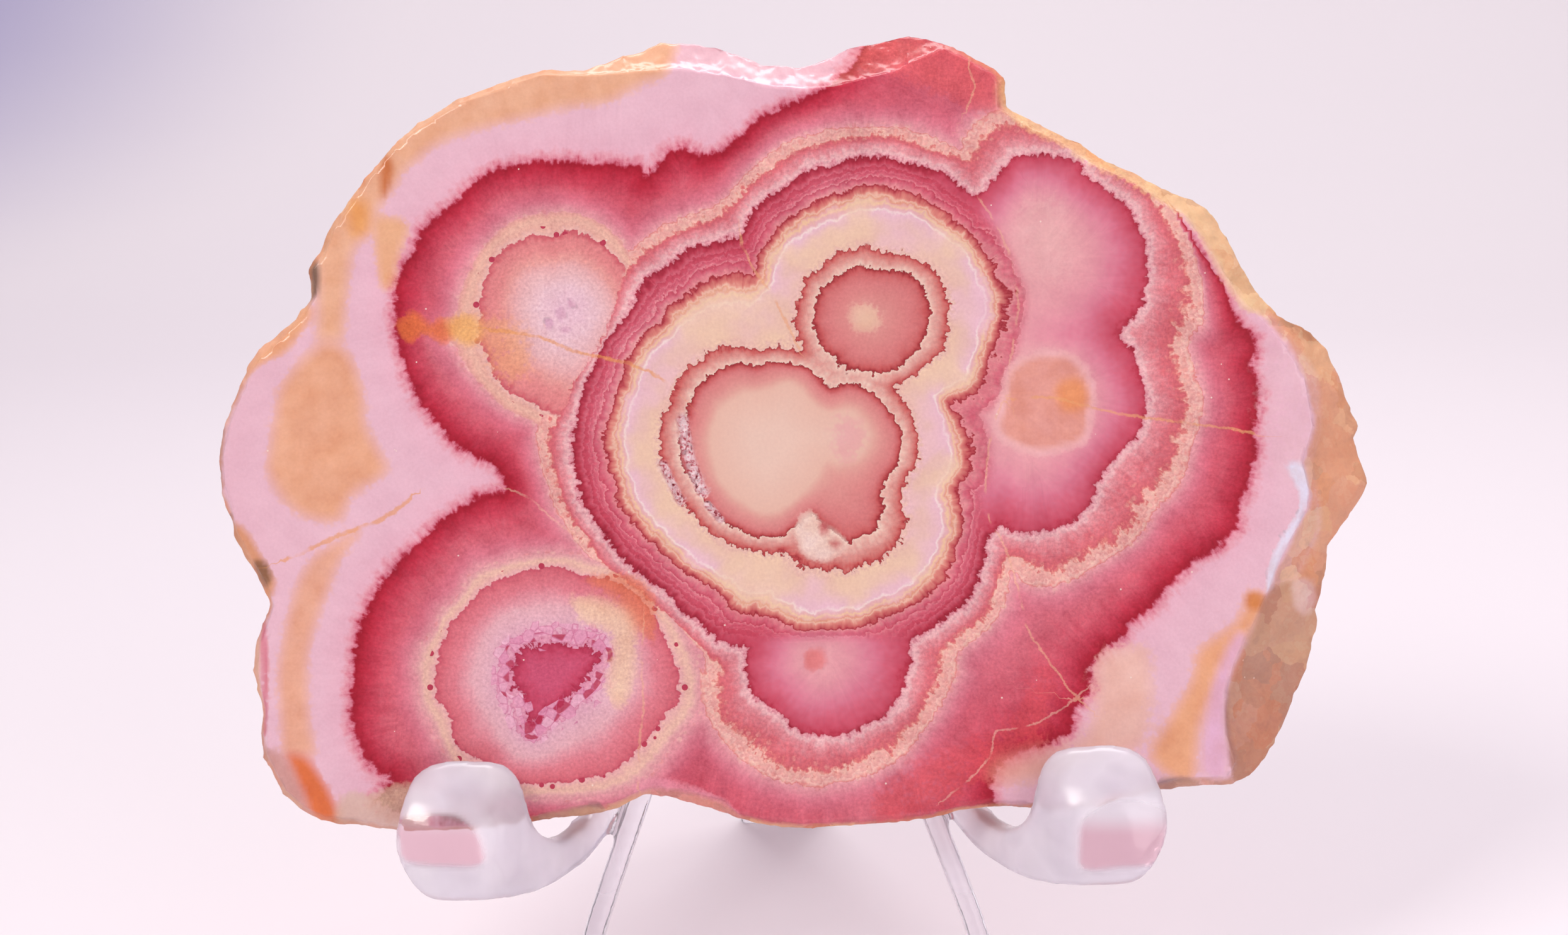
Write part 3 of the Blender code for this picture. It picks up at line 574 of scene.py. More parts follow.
def buildSlice():
    obj = copyNode("slice", "rhodochrosite_slice")
    for axis, size in zip((uAxis, vAxis), stone["cutReach"]):
        for at in np.arange(-size, size, stone["cut"]):
            bpy.ops.mesh.select_all(action="SELECT")
            bpy.ops.mesh.bisect(plane_co=faceFrame.translation + axis * float(at) * mm, plane_no=axis)
    bpy.ops.mesh.select_all(action="DESELECT")
    bpy.ops.mesh.select_mode(type="FACE")
    bpy.ops.mesh.select_face_by_sides(number=4, type="GREATER")
    bpy.ops.mesh.quads_convert_to_tris()
    divideWhere(obj, lambda at: np.ones(len(at), bool), 1)
    divideWhere(obj, lambda at: at[:, 2] > stone["frontHalf"], 1)
    divideWhere(obj, lambda at: (at[:, 2] > stone["skin"]) & (druseField(at[:, :2]) > 0.01), 3)
    bpy.ops.object.mode_set(mode="OBJECT")
    print("slice divided:", len(obj.data.vertices), "points")
    return obj


def breakRim(spots, normals, rim):
    # a coarse crag and a finer one push each point of the rim inwards
    for k in np.nonzero(rim)[0]:
        at = Vector(spots[k]) / mm
        depth = noise.fractal(at * stone["crags"], 0.7, 2.1, 5) * 0.6
        depth += abs(noise.noise(at * stone["chips"])) * 0.5
        spots[k] -= normals[k] * stone["roughness"] * mm * max(0.0, 0.5 + depth)


def sinkPockets(spots, places):
    # crystal pockets: sunk, with facets standing up in them
    front = np.nonzero(places[:, 2] > -0.01)[0]
    sunk = druseField(places[front, :2])
    for k, much in zip(front[sunk > 0.02], sunk[sunk > 0.02]):
        at = Vector(places[k]) * 1.3
        cell = noise.voronoi(at, distance_metric="DISTANCE", exponent=2)[0]
        facet = 0.4 * (cell[1] - cell[0]) + 0.3 * noise.cell(at * 1.7)
        spots[k] -= np.array(wAxis) * mm * much * (stone["pocketDepth"] - facet)


def shapeSlice(obj):
    # the rim: facets softened, then broken up; the faces stay flat
    places = toFace(pointsOf(obj))
    back, front = stone["rimDepths"]
    rim = (places[:, 2] < front) & (places[:, 2] > back)
    for vertex, isRim in zip(obj.data.vertices, rim):
        vertex.select = bool(isRim)
    bpy.ops.object.mode_set(mode="EDIT")
    bpy.ops.mesh.select_mode(type="VERT")
    bpy.ops.mesh.vertices_smooth(factor=0.5, repeat=stone["softening"])
    bpy.ops.object.mode_set(mode="OBJECT")
    normals = np.zeros(len(obj.data.vertices) * 3)
    obj.data.vertices.foreach_get("normal", normals)
    spots = pointsOf(obj)
    breakRim(spots, normals.reshape(-1, 3), rim)
    sinkPockets(spots, places)
    obj.data.vertices.foreach_set("co", spots.ravel())
    obj.data.update()
    obj.data.shade_smooth()
    makeActive(obj)
    bpy.ops.object.shade_smooth_by_angle(angle=math.radians(stone["crease"]))
    print("slice shaped")


# soft patches of colour on the stone, mostly stains, one a painted highlight: colour, strength, softness
# in mm, outline in face mm
patches = [
    ((238, 180, 142), 0.95, 1.1, [
        (-12, 34), (-14, 33), (-16, 32), (-18, 31), (-22, 30.5), (-25, 29.7), (-28, 29), (-31, 28.2),
        (-34, 27), (-36.5, 25), (-38, 23), (-39.5, 21), (-40.3, 19), (-41.8, 17), (-42.2, 14.4),
        (-42.6, 11.2), (-43, 8.8), (-45.3, 8.8), (-45.4, 12), (-46, 17), (-50, 24), (-40, 36),
        (-20, 40), (-12, 40)]),
    ((237, 174, 136), 0.95, 1.2, [
        (-45.1, 8.3), (-48.6, 4.8), (-49.4, 1.6), (-50, -2.2), (-50.1, -3.7), (-48.6, -6.6),
        (-46.4, -8.2), (-43.5, -8.6), (-42.4, -7), (-41.6, -5.9), (-39.4, -4.6), (-38.7, -3.4),
        (-39, -2.6), (-40.6, 0.6), (-40.8, 3.2), (-41.6, 6.1), (-42.9, 8)]),
    ((237, 174, 142), 0.92, 1.0, [
        (-41.3, -9.4), (-45.1, -11.4), (-46.7, -13.3), (-47.7, -15.8), (-48.5, -19), (-49.1, -23.2),
        (-48.8, -28), (-48.5, -30.6), (-45.6, -30.6), (-45.9, -28), (-46.1, -24.8), (-46.1, -21.6),
        (-45.4, -18.4), (-44.2, -15.2), (-43.2, -12.6)]),
    ((226, 112, 50), 0.95, 0.8, [
        (-48.2, -30.9), (-46.4, -30.9), (-45.1, -32.5), (-44, -34.4), (-43.2, -37), (-45.4, -38),
        (-46.7, -34.7)]),
    ((222, 190, 165), 0.7, 0.6, [
        (-43, -34.5), (-40, -34.3), (-37.5, -33.4), (-35.5, -34), (-35, -39), (-43, -39)]),
    ((228, 116, 62), 0.85, 0.6, [
        (-37.9, 9.9), (-36.2, 11.4), (-34.7, 10.2), (-33.5, 10.9), (-32.3, 9.3), (-33.3, 8.2),
        (-35.1, 9), (-36.7, 8.3)]),
    ((242, 178, 98), 0.8, 0.6, [
        (-33, 10.5), (-31.4, 11.2), (-30.1, 10.6), (-29.5, 9.3), (-30.7, 8.1), (-32.4, 8.8)]),
    ((238, 170, 120), 0.55, 1.4, [(-30, 11), (-25.5, 10), (-25, 6), (-27, 4.4), (-29, 6)]),
    ((242, 202, 166), 0.75, 1.0, [
        (-21, -15.6), (-15.5, -17), (-15, -21), (-16, -26), (-18, -25), (-17.5, -19.5), (-20.5, -18)]),
    ((226, 125, 85), 0.7, 0.9, [
        (-20, -14), (-15.5, -13.5), (-13.2, -16), (-13.4, -20), (-15.2, -18.5), (-17, -16)]),
    ((244, 190, 188), 0.7, 0.6, [
        (20.2, 6.2), (22.3, 7.5), (24.1, 7.8), (26.4, 7.4), (28.1, 5.6), (28.6, 3.5), (28.3, 1.6),
        (27.9, -1.1), (24.9, -2.2), (22.9, -2.4), (20.9, -1.8), (19.3, -0.9), (18.8, 0.6), (19.3, 3.2)]),
    ((232, 159, 144), 0.97, 0.35, [
        (20.6, 5.6), (22.3, 6.7), (24.1, 7), (26, 6.7), (27.3, 5.3), (27.8, 3.5), (27.5, 2),
        (27.2, -0.5), (24.7, -1.4), (23.2, -1.7), (21.3, -1.1), (20, -0.5), (19.5, 0.7), (20.1, 2.9)]),
    ((235, 148, 92), 0.85, 0.7, [(24.6, 3.9), (25.8, 5), (27.3, 4.6), (27.7, 2.4), (25.5, 1.9)]),
    ((238, 186, 184), 0.4, 1.8, [
        (21.5, 22.5), (25.5, 22), (26.5, 16), (25, 13.5), (22, 15), (20.5, 19)]),
    ((240, 206, 178), 0.75, 1.1, [(5.6, 11.9), (7.8, 11.9), (8.1, 10), (6.7, 9.3), (5.3, 10)]),
    ((232, 150, 165), 0.45, 1.2, [(3.6, 1.6), (6.8, 0.6), (6.2, -2.6), (3.6, -2.8)]),
    ((240, 190, 166), 0.75, 1.5, [
        (28.5, -21.5), (33, -20), (34, -23), (33.5, -29), (30, -31.5), (25, -33), (19.5, -33.5),
        (19.3, -31.3), (26.5, -29.4), (28.3, -26)]),
    ((238, 170, 120), 0.9, 1.1, [
        (43.3, -15), (41.6, -18), (38.2, -20.6), (37.4, -23.5), (35.5, -27), (33.6, -31), (37.5, -33.5),
        (38.4, -28.3), (40, -24.5), (42.4, -20.5), (44.6, -17)]),
    ((232, 180, 205), 0.85, 0.6, [
        (41.6, -19.4), (39.6, -24), (38.6, -31.5), (40.7, -32.5), (40.7, -25), (42.6, -20)]),
    ((214, 128, 62), 0.85, 0.4, [(42.9, -15.3), (44.6, -15.6), (44.2, -17), (42.7, -16.6)]),
    ((225, 96, 100), 0.7, 1.5, [(8, 38), (20, 35), (20, 30.5), (16.5, 30.5), (10, 33.5), (6, 34.5)]),
    ((215, 80, 85), 0.5, 2.0, [(8, -33), (19, -28), (24, -22), (24, -30), (18, -34), (8, -38.5)]),
    ((232, 186, 194), 0.4, 1.6, [(44, 9), (49, 6), (49, -4), (44.4, -4)]),
    ((228, 160, 118), 0.92, 0.6, [
        (45, 12.2), (47, 8.5), (49.4, 5.4), (49.6, 0.5), (48.8, -3), (49.4, -5.5), (49.8, -9),
        (48.4, -12.5), (48, -14.5), (54, -16), (58, -6), (56, 4), (50, 12)]),
    ((152, 114, 86), 0.75, 0.5, [(44.6, 13.4), (46.4, 10.4), (49, 8.6), (50.4, 9.6), (47, 12.8)]),
    ((178, 122, 106), 0.95, 0.4, [
        (44.8, -15.4), (46.4, -14.2), (48.6, -14.4), (53, -16), (52, -26), (46, -34.5), (42, -34),
        (40.9, -29.5), (40.7, -26), (42, -22), (43.6, -18.6)]),
    ((178, 134, 120), 0.6, 1.2, [
        (44.5, -17.5), (48, -17), (48.5, -21), (45, -23), (42.6, -27), (41.8, -24)]),
    # painted highlight: a lavender-white reflection along the edge bevel at the lower right
    ((230, 222, 236), 0.9, 0.3, [
        (46.6, -3.4), (47.6, -5.6), (47.6, -7.6), (45.8, -10.4), (44.9, -12.6), (44.6, -15),
        (45.2, -14.6), (46.2, -11.6), (48.1, -8.2), (48.7, -5.4), (47.9, -3)]),
    ((230, 202, 214), 0.8, 0.4, [(47.3, -14.2), (49, -14), (49.6, -16), (48.6, -17.4), (47.4, -16.4)]),
    ((242, 200, 140), 0.85, 0.8, [
        (19.4, 31.2), (21.6, 28.8), (25, 27.2), (28, 25.2), (31, 23.8), (34, 22.1), (37, 20.1),
        (39.2, 16.9), (41.5, 13), (43.2, 11.2), (46.6, 12.4), (42, 21), (34, 27), (24, 32), (20, 34)]),
    ((238, 170, 118), 0.88, 0.6, [
        (-54, 3.4), (-51, 6), (-48.6, 7.2), (-46.8, 9.2), (-45.8, 11.4), (-48, 13), (-53, 9), (-57, 4)]),
    ((112, 84, 62), 0.9, 0.35, [(-47, 12.4), (-45.4, 13), (-45.2, 15.4), (-46, 16.6), (-47.8, 15)]),
    ((220, 150, 100), 0.88, 0.6, [
        (-54.4, -9), (-52.4, -9), (-50.4, -12), (-49.2, -14.6), (-51, -16.4), (-54, -12)]),
    ((132, 92, 66), 0.85, 0.35, [(-51.4, -12.4), (-50, -12.6), (-49.7, -14.3), (-51, -14.8)]),
    ((216, 90, 112), 0.7, 0.3, [
        (-50.9, -18), (-50.3, -18), (-49.9, -22), (-50.1, -28.4), (-50.7, -28.4), (-50.6, -23)]),
    ((234, 182, 150), 0.85, 0.3, [
        (-53, -19), (-51, -18.6), (-50.8, -24), (-51.1, -29.6), (-54, -29), (-54, -22)]),
    ((204, 144, 128), 0.8, 0.7, [(-51, -30.3), (-48.6, -30.8), (-47, -33.8), (-46, -37.5), (-52, -36)]),
    ((234, 152, 168), 0.65, 0.4, [
        (-15, -32.9), (-11, -33.2), (-6.6, -35), (-4.6, -38), (-10, -37), (-15, -35.6)]),
    ((150, 116, 106), 0.75, 0.3, [(-25, -36.6), (-22, -36), (-18.6, -35.2), (-18.6, -37), (-24, -38)]),
    ((136, 104, 98), 0.75, 0.3, [(34.4, -33), (38.4, -33.2), (38.4, -35), (34.4, -35.2)]),
    ((226, 122, 120), 0.85, 0.5, [(1, -20.8), (2.5, -20.7), (2.9, -22), (2, -22.8), (0.8, -22.4)]),
    ((220, 168, 190), 0.85, 0.2, [(-22.8, 11.4), (-22.1, 11.9), (-21.7, 10.9), (-22.4, 10.4)]),
    ((220, 166, 190), 0.8, 0.2, [(-23.8, 10.6), (-23, 10.7), (-22.8, 9.8), (-23.6, 9.6)]),
    ((220, 166, 190), 0.8, 0.2, [(-21.5, 12.7), (-20.8, 12.1), (-21.1, 11.5), (-21.7, 11.9)]),
    ((220, 166, 190), 0.8, 0.2, [(-22.2, 9.9), (-21.3, 9.9), (-21.5, 9.2), (-22.2, 9.3)]),
    ((205, 110, 50), 0.85, 0.5, [(-39.3, 26), (-38.2, 25.6), (-38.3, 23.6), (-39.2, 22)]),
    ((236, 160, 85), 0.8, 0.9, [(-42.5, 22), (-40.6, 21.5), (-40.4, 19), (-42, 18.6)]),
    ((240, 180, 120), 0.8, 0.8, [
        (-40, 19.5), (-38.8, 20.5), (-36.6, 19.6), (-37.4, 16.8), (-38.4, 13.6), (-39.6, 14.4)]),
    ((244, 214, 200), 0.9, 0.6, [
        (0.4, -8), (1.7, -7.6), (2.4, -8.8), (4.2, -9.8), (4.9, -10.9), (3, -12.4), (0.8, -11.8),
        (0, -9.8)]),
    ((196, 66, 78), 0.75, 0.3, [(2.2, -8.6), (3, -8.9), (3.2, -9.6), (2.4, -9.8)]),
    ((196, 66, 78), 0.75, 0.3, [(3.6, -10.2), (4.4, -10.6), (4, -11.2), (3.2, -10.8)]),
]


def store(obj, name, kind, values):
    # keeps a value for each point, for the material to read
    attribute = obj.data.attributes.new(name, kind, "POINT")
    key = {"FLOAT": "value", "FLOAT_VECTOR": "vector", "FLOAT_COLOR": "color"}[kind]
    attribute.data.foreach_set(key, np.asarray(values).astype(np.float32).ravel())


def patchPaint(places):
    # red, green, blue and cover of the soft patches, each laid over the ones before
    paint = np.zeros((len(places), 4))
    for color, strength, soft, outline in patches:
        close = nearBox(places, outline, soft + 1)
        far, arc, side = reach(places[close], traced(outline))
        cover = (strength * (1 - easeStep(far * side, -soft, soft)))[:, None]
        before = paint[close]
        total = before[:, 3:] * (1 - cover) + cover
        blend = before[:, :3] * before[:, 3:] * (1 - cover) + np.array(tone(*color)[:3]) * cover
        paint[close, :3] = np.where(cover > 0, blend / np.maximum(total, 1e-6), before[:, :3])
        paint[close, 3:] = total
    return paint


def rimMask(places, druse):
    # 1 on the broken rim, little on the polished bevel at the top, 0 in the pockets
    rough = easeStep(-places[:, 2], *stone["rimEase"]) * easeStep(places[:, 2], *stone["backEase"])
    bevel = easeStep(places[:, 1], *stone["bevelUp"]) * easeStep(places[:, 0], *stone["bevelLeft"])
    bevel *= easeStep(-places[:, 0], *stone["bevelRight"])
    return rough * (1 - 0.85 * bevel) * (1 - easeStep(druse, 0, 0.1))


def paintSlice(obj):
    places = toFace(pointsOf(obj))
    shifted = places[:, :2] + places[:, 2:3] * np.array(stone["leanIn"])
    main, nest, lace, around, heart, isBud = bandFields(shifted)
    druse = druseField(places[:, :2]) * (places[:, 2] > -1.5)
    store(obj, "bands", "FLOAT_VECTOR", np.stack((main, nest, lace), 1))
    store(obj, "flow", "FLOAT_VECTOR", np.stack((around, heart, isBud), 1))
    store(obj, "place", "FLOAT_VECTOR", places)
    store(obj, "crack", "FLOAT_VECTOR", np.stack(crackFields(shifted), 1))
    store(obj, "patch", "FLOAT_COLOR", patchPaint(shifted))
    store(obj, "rim", "FLOAT", rimMask(places, druse))
    store(obj, "druse", "FLOAT", druse)
    print("slice painted")


# how fine each pattern of the stone is, in repeats for each mm
weave = {
    "teeth": 1.7, "fine": 1.7, "wave": 0.28, "scallop": 0.75, "grains": 1.7, "speck": 3.4,
    "drift": 0.13, "lumps": 1.5, "crystals": 1.0, "beads": 0.8, "mottle": 0.36, "wander": 1.1,
    "breaks": 0.35, "cloud": 0.27, "glints": 0.6, "sparkle": 2.2, "swirl": 0.5, "crags": 0.3,
    "crust": 0.7, "relief": 1.1, "redCloud": 0.06,
}


def stoneLayers(tree):
    # what each point knows of its place among the bands, and the noises that all bands share
    bandsAt, flowAt, crackAt = (node(tree, "SeparateXYZ", {0: layer(tree, name).outputs["Vector"]}).outputs
                                for name in ("bands", "flow", "crack"))
    at = dict(zip(("main", "nest", "lace"), bandsAt))
    at.update(zip(("around", "heart", "isBud"), flowAt))
    at.update(zip(("crack", "crackHalf", "crackWarm"), crackAt))
    for name in ("druse", "rim"):
        at[name] = layer(tree, name).outputs["Fac"]
    patch = layer(tree, "patch")
    at["patch"], at["cover"] = patch.outputs["Color"], patch.outputs["Alpha"]
    at["place"] = layer(tree, "place").outputs["Vector"]
    # teeth run round each band, waves are wider, grains are dots
    roundWay = node(tree, "CombineXYZ", {0: at["around"], 1: times(at["main"], 0.12), 2: 0.0}).outputs[0]
    teeth = plus(grain(roundWay, weave["teeth"], 2, 0.7), -0.5)
    at["fine"] = plus(grain(at["place"], weave["fine"], 3, 0.65), -0.5)
    at["wave"] = plus(grain(at["place"], weave["wave"], 2, 0.5), -0.5)
    scallop = plus(cells(at["place"], weave["scallop"]).outputs["Distance"], -0.4)
    at["grains"] = plus(cells(at["place"], weave["grains"]).outputs["Distance"], -0.4)
    at["speck"] = grain(at["place"], weave["speck"], 3, 0.65)
    at["ragged"] = plus(plus(times(teeth, 1.3), at["fine"]), times(at["grains"], 0.6))
    reachOf = ramp(at["main"], -4, 48, [
        (-4, 0.05), (2.3, 0.1), (3.3, 0.7), (4, 1.6), (4.6, 1.2), (5.2, 0.7), (5.9, 0.7), (6.5, 1.7),
        (7.4, 0.4), (10, 0.35), (11.7, 0.7), (12.6, 0.6), (13.6, 0.6), (14.2, 0.6), (14.9, 1.0),
        (15.6, 0.8), (16.4, 0.9), (17.8, 0.9), (19.2, 0.7), (21, 0.5), (25, 1.0), (28, 1.05), (30, 0.7),
        (48, 0.5)])
    waveReach = ramp(at["main"], -4, 48, [
        (-4, 0.5), (8, 0.7), (9.5, 1.1), (12, 0.8), (13, 0.5), (14, 0.3), (15, 0.7), (20, 0.8), (48, 0.9)])
    at["bend"] = times(plus(at["wave"], times(scallop, 0.45)), waveReach)
    at["shift"] = plus(times(at["ragged"], reachOf), at["bend"])
    at["t"] = plus(at["main"], at["shift"])
    return at


def heartColor(at):
    # the two eyes, the coral ring and the cream core round them
    t = at["t"]
    color = ramp(t, -4, 12, [
        (-4, 239, 204, 187), (-0.3, 236, 192, 174), (0.3, 230, 170, 158), (1, 227, 154, 147),
        (2.3, 220, 131, 130), (3.3, 202, 92, 92), (3.7, 174, 58, 62), (3.96, 146, 40, 48),
        (4.05, 243, 211, 195), (4.4, 236, 190, 175), (4.7, 231, 177, 165), (5.1, 226, 160, 150),
        (6.1, 206, 100, 96), (6.35, 184, 66, 68), (6.47, 154, 42, 50), (6.55, 238, 199, 185),
        (6.8, 235, 190, 176), (7.4, 237, 196, 177), (8.7, 237, 196, 186), (9.8, 238, 194, 204),
        (10.02, 250, 228, 222), (10.2, 234, 182, 186), (10.4, 236, 184, 178), (10.6, 244, 204, 162),
        (10.78, 234, 174, 168), (10.95, 228, 156, 128), (11.12, 241, 194, 172), (11.35, 225, 140, 128),
        (11.85, 194, 76, 84), (11.97, 162, 46, 56)])
    drift = grain(at["place"], weave["drift"], 3, 0.5)
    core = times(step(t, bandAt["coreStart"], 7.2), rest(step(t, 10.6, bandAt["coreEnd"])))
    color = mixed(times(core, less(0.75, step(drift, 0.4, 0.56))), color, tone(244, 208, 179))
    return mixed(times(core, times(step(drift, 0.5, 0.64), 0.6)), color, tone(240, 194, 208))


def ringColor(at):
    # the red rings with their buds, then the pale lace
    t = at["t"]
    color = ramp(t, 11.9, 19.1, [
        (11.9, 164, 46, 58), (12.02, 184, 64, 76), (12.1, 229, 146, 150), (12.3, 222, 130, 139),
        (12.6, 215, 106, 124), (12.88, 200, 78, 98), (12.97, 229, 140, 150), (13.15, 215, 104, 122),
        (13.4, 208, 88, 108), (13.5, 220, 116, 132), (13.6, 206, 84, 104), (13.95, 197, 70, 90),
        (14.08, 210, 98, 116), (14.5, 190, 61, 81), (14.8, 170, 42, 62), (14.98, 156, 32, 52),
        (15.06, 216, 128, 142), (15.25, 231, 162, 170), (15.5, 237, 184, 186), (15.8, 235, 175, 178),
        (16, 230, 154, 160), (17.1, 220, 113, 123), (17.6, 215, 104, 112), (17.8, 226, 134, 128),
        (17.95, 240, 184, 172), (18.3, 233, 164, 158), (18.5, 240, 188, 178), (18.8, 230, 156, 150),
        (18.95, 221, 130, 128), (19.05, 232, 162, 168)])
    budAt = plus(at["heart"], times(plus(at["fine"], at["wave"]), 0.16))
    buds = ramp(budAt, 0, 1, [
        (0, 238, 181, 181), (0.3, 236, 172, 175), (0.5, 234, 161, 170), (0.65, 228, 142, 160),
        (0.75, 221, 121, 144), (0.85, 213, 99, 121), (0.95, 203, 76, 98), (1, 184, 50, 72)])
    return mixed(times(at["isBud"], under(t, bandAt["redEnd"])), color, buds)


def fieldColor(at):
    # from the lace through the crimson field to the pink outside it
    return ramp(at["t"], 19, 48, [
        (19, 232, 162, 168), (19.8, 226, 147, 157), (20.7, 221, 127, 143), (21.8, 218, 113, 131),
        (23.2, 214, 101, 117), (24.4, 206, 78, 97), (25.6, 199, 62, 83), (26.8, 188, 43, 65),
        (27.5, 176, 31, 53), (27.9, 167, 26, 48), (28.08, 189, 60, 82), (28.35, 221, 124, 144),
        (28.8, 234, 162, 176), (29.4, 238, 186, 201), (31, 238, 191, 205), (34, 238, 193, 206),
        (48, 237, 190, 203)])


def laceLumps(at, color):
    t = at["t"]
    lump = cells(at["place"], weave["lumps"])
    pale = past(chances(lump)[2], 0.5)
    much = times(rest(step(lump.outputs["Distance"], 0.32, 0.5)),
                 times(step(t, bandAt["laceStart"], 17.8), rest(step(t, 19.1, 19.9))))
    return mixed(times(much, 0.32), color, mixed(pale, tone(229, 136, 126), tone(245, 206, 184)))


def redDepths(at, color):
    # the red field is lighter in places and darker in others
    t = at["t"]
    crimson = times(step(t, 20.0, 23.5), under(t, bandAt["crimsonEnd"]))
    reds = plus(crimson, times(past(t, 12.1), under(t, bandAt["redEnd"])))
    cloud = times(plus(grain(at["place"], weave["redCloud"], 2, 0.5), -0.5), 1.8)
    depth = times(cloud, times(reds, rest(at["isBud"])))
    return tinted(color, [calc("POWER", much, depth) for much in (1.15, 2.3, 1.85)])


def nestReach(at):
    ease = ramp(at["nest"], -4, 10, [
        (-4, 0.1), (-0.8, 1.3), (0.4, 1.2), (1.6, 0.7), (3, 0.2), (5.2, 0.5), (6.1, 0.6), (8, 0.4),
        (10, 0.4)])
    return plus(plus(at["nest"], times(at["bend"], 0.6)), times(at["ragged"], ease))


def lowNestColor(at, nestT):
    # the lower left nest, with crystals standing round its dark core
    color = ramp(nestT, -6, 8, [
        (-6, 208, 86, 118), (-1.8, 208, 88, 119), (-0.9, 203, 76, 106), (-0.2, 186, 54, 84),
        (0, 166, 40, 70), (0.05, 222, 142, 168), (0.9, 233, 168, 188), (1.04, 214, 126, 156),
        (1.12, 230, 174, 192), (2, 233, 182, 193), (2.9, 234, 179, 187), (3.4, 232, 163, 173),
        (4, 229, 146, 157), (4.5, 226, 130, 142), (5.2, 222, 119, 131), (5.7, 215, 106, 119),
        (5.98, 202, 86, 104), (6.06, 236, 178, 178), (6.6, 236, 185, 172), (7.1, 238, 191, 173),
        (7.6, 232, 172, 172), (7.9, 226, 158, 162), (8, 232, 166, 170)])
    crystal = cells(at["place"], weave["crystals"])
    chance = chances(crystal)
    border = cells(at["place"], weave["crystals"], feature="DISTANCE_TO_EDGE").outputs["Distance"]
    inward = plus(at["nest"], times(plus(chance[0], -0.5), 1.5))
    ring = times(past(inward, 0.0), under(inward, 1.15))
    dark = times(past(chance[1], 0.72), under(at["nest"], 0.9))
    facet = mixed(chance[2], tone(228, 148, 180), tone(241, 188, 207))
    facet = mixed(dark, facet, tone(186, 50, 82))
    facet = mixed(times(under(border, 0.05), 0.6), facet, tone(208, 106, 146))
    return mixed(times(ring, 0.85), color, facet)


def nestColor(at, color):
    # the two nests on the left, each with a dotted ring
    nestT = nestReach(at)
    leftNest = ramp(nestT, 0, 8, [
        (0, 240, 201, 214), (1.2, 240, 200, 211), (2, 240, 201, 208), (3, 237, 189, 190),
        (3.6, 236, 178, 178), (4.2, 234, 162, 156), (4.9, 230, 143, 142), (5.5, 227, 136, 137),
        (5.85, 212, 104, 112), (5.99, 208, 94, 106), (6.07, 238, 190, 180), (6.6, 234, 178, 163),
        (7.1, 237, 186, 168), (7.5, 236, 180, 163), (7.9, 230, 164, 156), (8, 234, 172, 168)])
    bead = cells(at["place"], weave["beads"])
    chosen = past(chances(bead)[0], 0.3)
    chosen = times(chosen, under(at["nest"], bandAt["beadEnd"]))
    beads = times(under(bead.outputs["Distance"], 0.24), chosen)
    v = node(at["tree"], "SeparateXYZ", {0: at["place"]}).outputs[1]
    nests = mixed(past(v, bandAt["nestSplit"]), lowNestColor(at, nestT), leftNest)
    nests = mixed(times(beads, past(at["nest"], bandAt["beadStart"])), nests, tone(190, 62, 86))
    at["inNest"] = times(under(nestT, bandAt["cream"]), past(plus(at["lace"], at["shift"]), 0.0))
    return mixed(at["inNest"], color, nests)


def stainsAndPaintedHighlight(at, color):
    # soft stains with ragged margins, and the painted highlight along the lower right edge
    margin = times(plus(plus(at["fine"], times(at["wave"], 0.7)), times(at["grains"], 0.5)), 0.9)
    mottle = times(times(plus(grain(at["place"], weave["mottle"], 3, 0.55), -0.5), 0.6), at["cover"])
    spread = times(at["cover"], step(plus(at["cover"], margin), 0.2, 0.55))
    stain = tinted(at["patch"], [plus(times(mottle, share), 1.0) for share in (0.5, 1.1, 1.6)])
    return mixed(spread, color, stain)


def crackColor(at, color):
    # cracks, filled with pale or rusty mineral
    wander = times(plus(grain(at["place"], weave["wander"], 4, 0.7), -0.5), 0.7)
    gap = calc("ABSOLUTE", plus(at["crack"], wander))
    seam = rest(step(calc("DIVIDE", gap, at["crackHalf"]), 0.5, 1.5))
    seam = times(seam, step(grain(at["place"], weave["breaks"], 2, 0.5), 0.36, 0.5))
    filling = mixed(at["crackWarm"], tone(243, 198, 186), tone(235, 160, 90))
    return mixed(times(seam, plus(times(at["crackWarm"], 0.25), 0.38)), color, filling)


def grainColor(at, color):
    # fine fibres that run out from each heart, clouds and sugary grain
    outwards = {0: times(at["around"], 1.6), 1: times(at["main"], 0.25), 2: 0.0}
    runs = node(at["tree"], "CombineXYZ", outwards).outputs[0]
    fibre, cloud = grain(runs, 1.0, 3, 0.6), grain(at["place"], weave["cloud"], 5, 0.6)
    sugar = times(plus(at["speck"], -0.5), ramp(at["main"], 0, 48, [
        (0, 0.12), (4, 0.5), (6.5, 0.6), (7.5, 0.2), (11, 0.25), (12.5, 0.7), (15, 0.9), (16.5, 0.9),
        (18, 0.7), (21, 0.55), (27, 0.8), (28.6, 0.16), (48, 0.14)]))
    at["sugar"] = times(sugar, rest(times(at["isBud"], 0.75)))
    strong = ramp(at["main"], 0, 48, [
        (0, 0.1), (1, 0.3), (5, 0.4), (7, 0.25), (11, 0.4), (12.5, 1.0), (13.6, 0.5), (15, 1.0), (22, 1.3),
        (27.9, 1.3), (28.6, 0.36), (48, 0.3)])
    strong = times(strong, rest(times(at["inNest"], 0.6)))
    veins = plus(times(plus(fibre, -0.5), 0.3), times(plus(cloud, -0.5), 0.55))
    depth = plus(times(veins, strong), at["sugar"])
    return tinted(color, [plus(times(depth, share), 1.0) for share in (1.0, 1.5, 1.3)])


def glintColor(at, color):
    # painted highlights: bright glints where crystal faces catch the light
    glint = cells(at["place"], weave["glints"])
    bright = past(chances(glint)[1], 0.8)
    much = times(under(glint.outputs["Distance"], 0.055), times(bright, past(at["main"], 12.5)))
    return mixed(times(much, 0.8), color, tone(252, 226, 214))


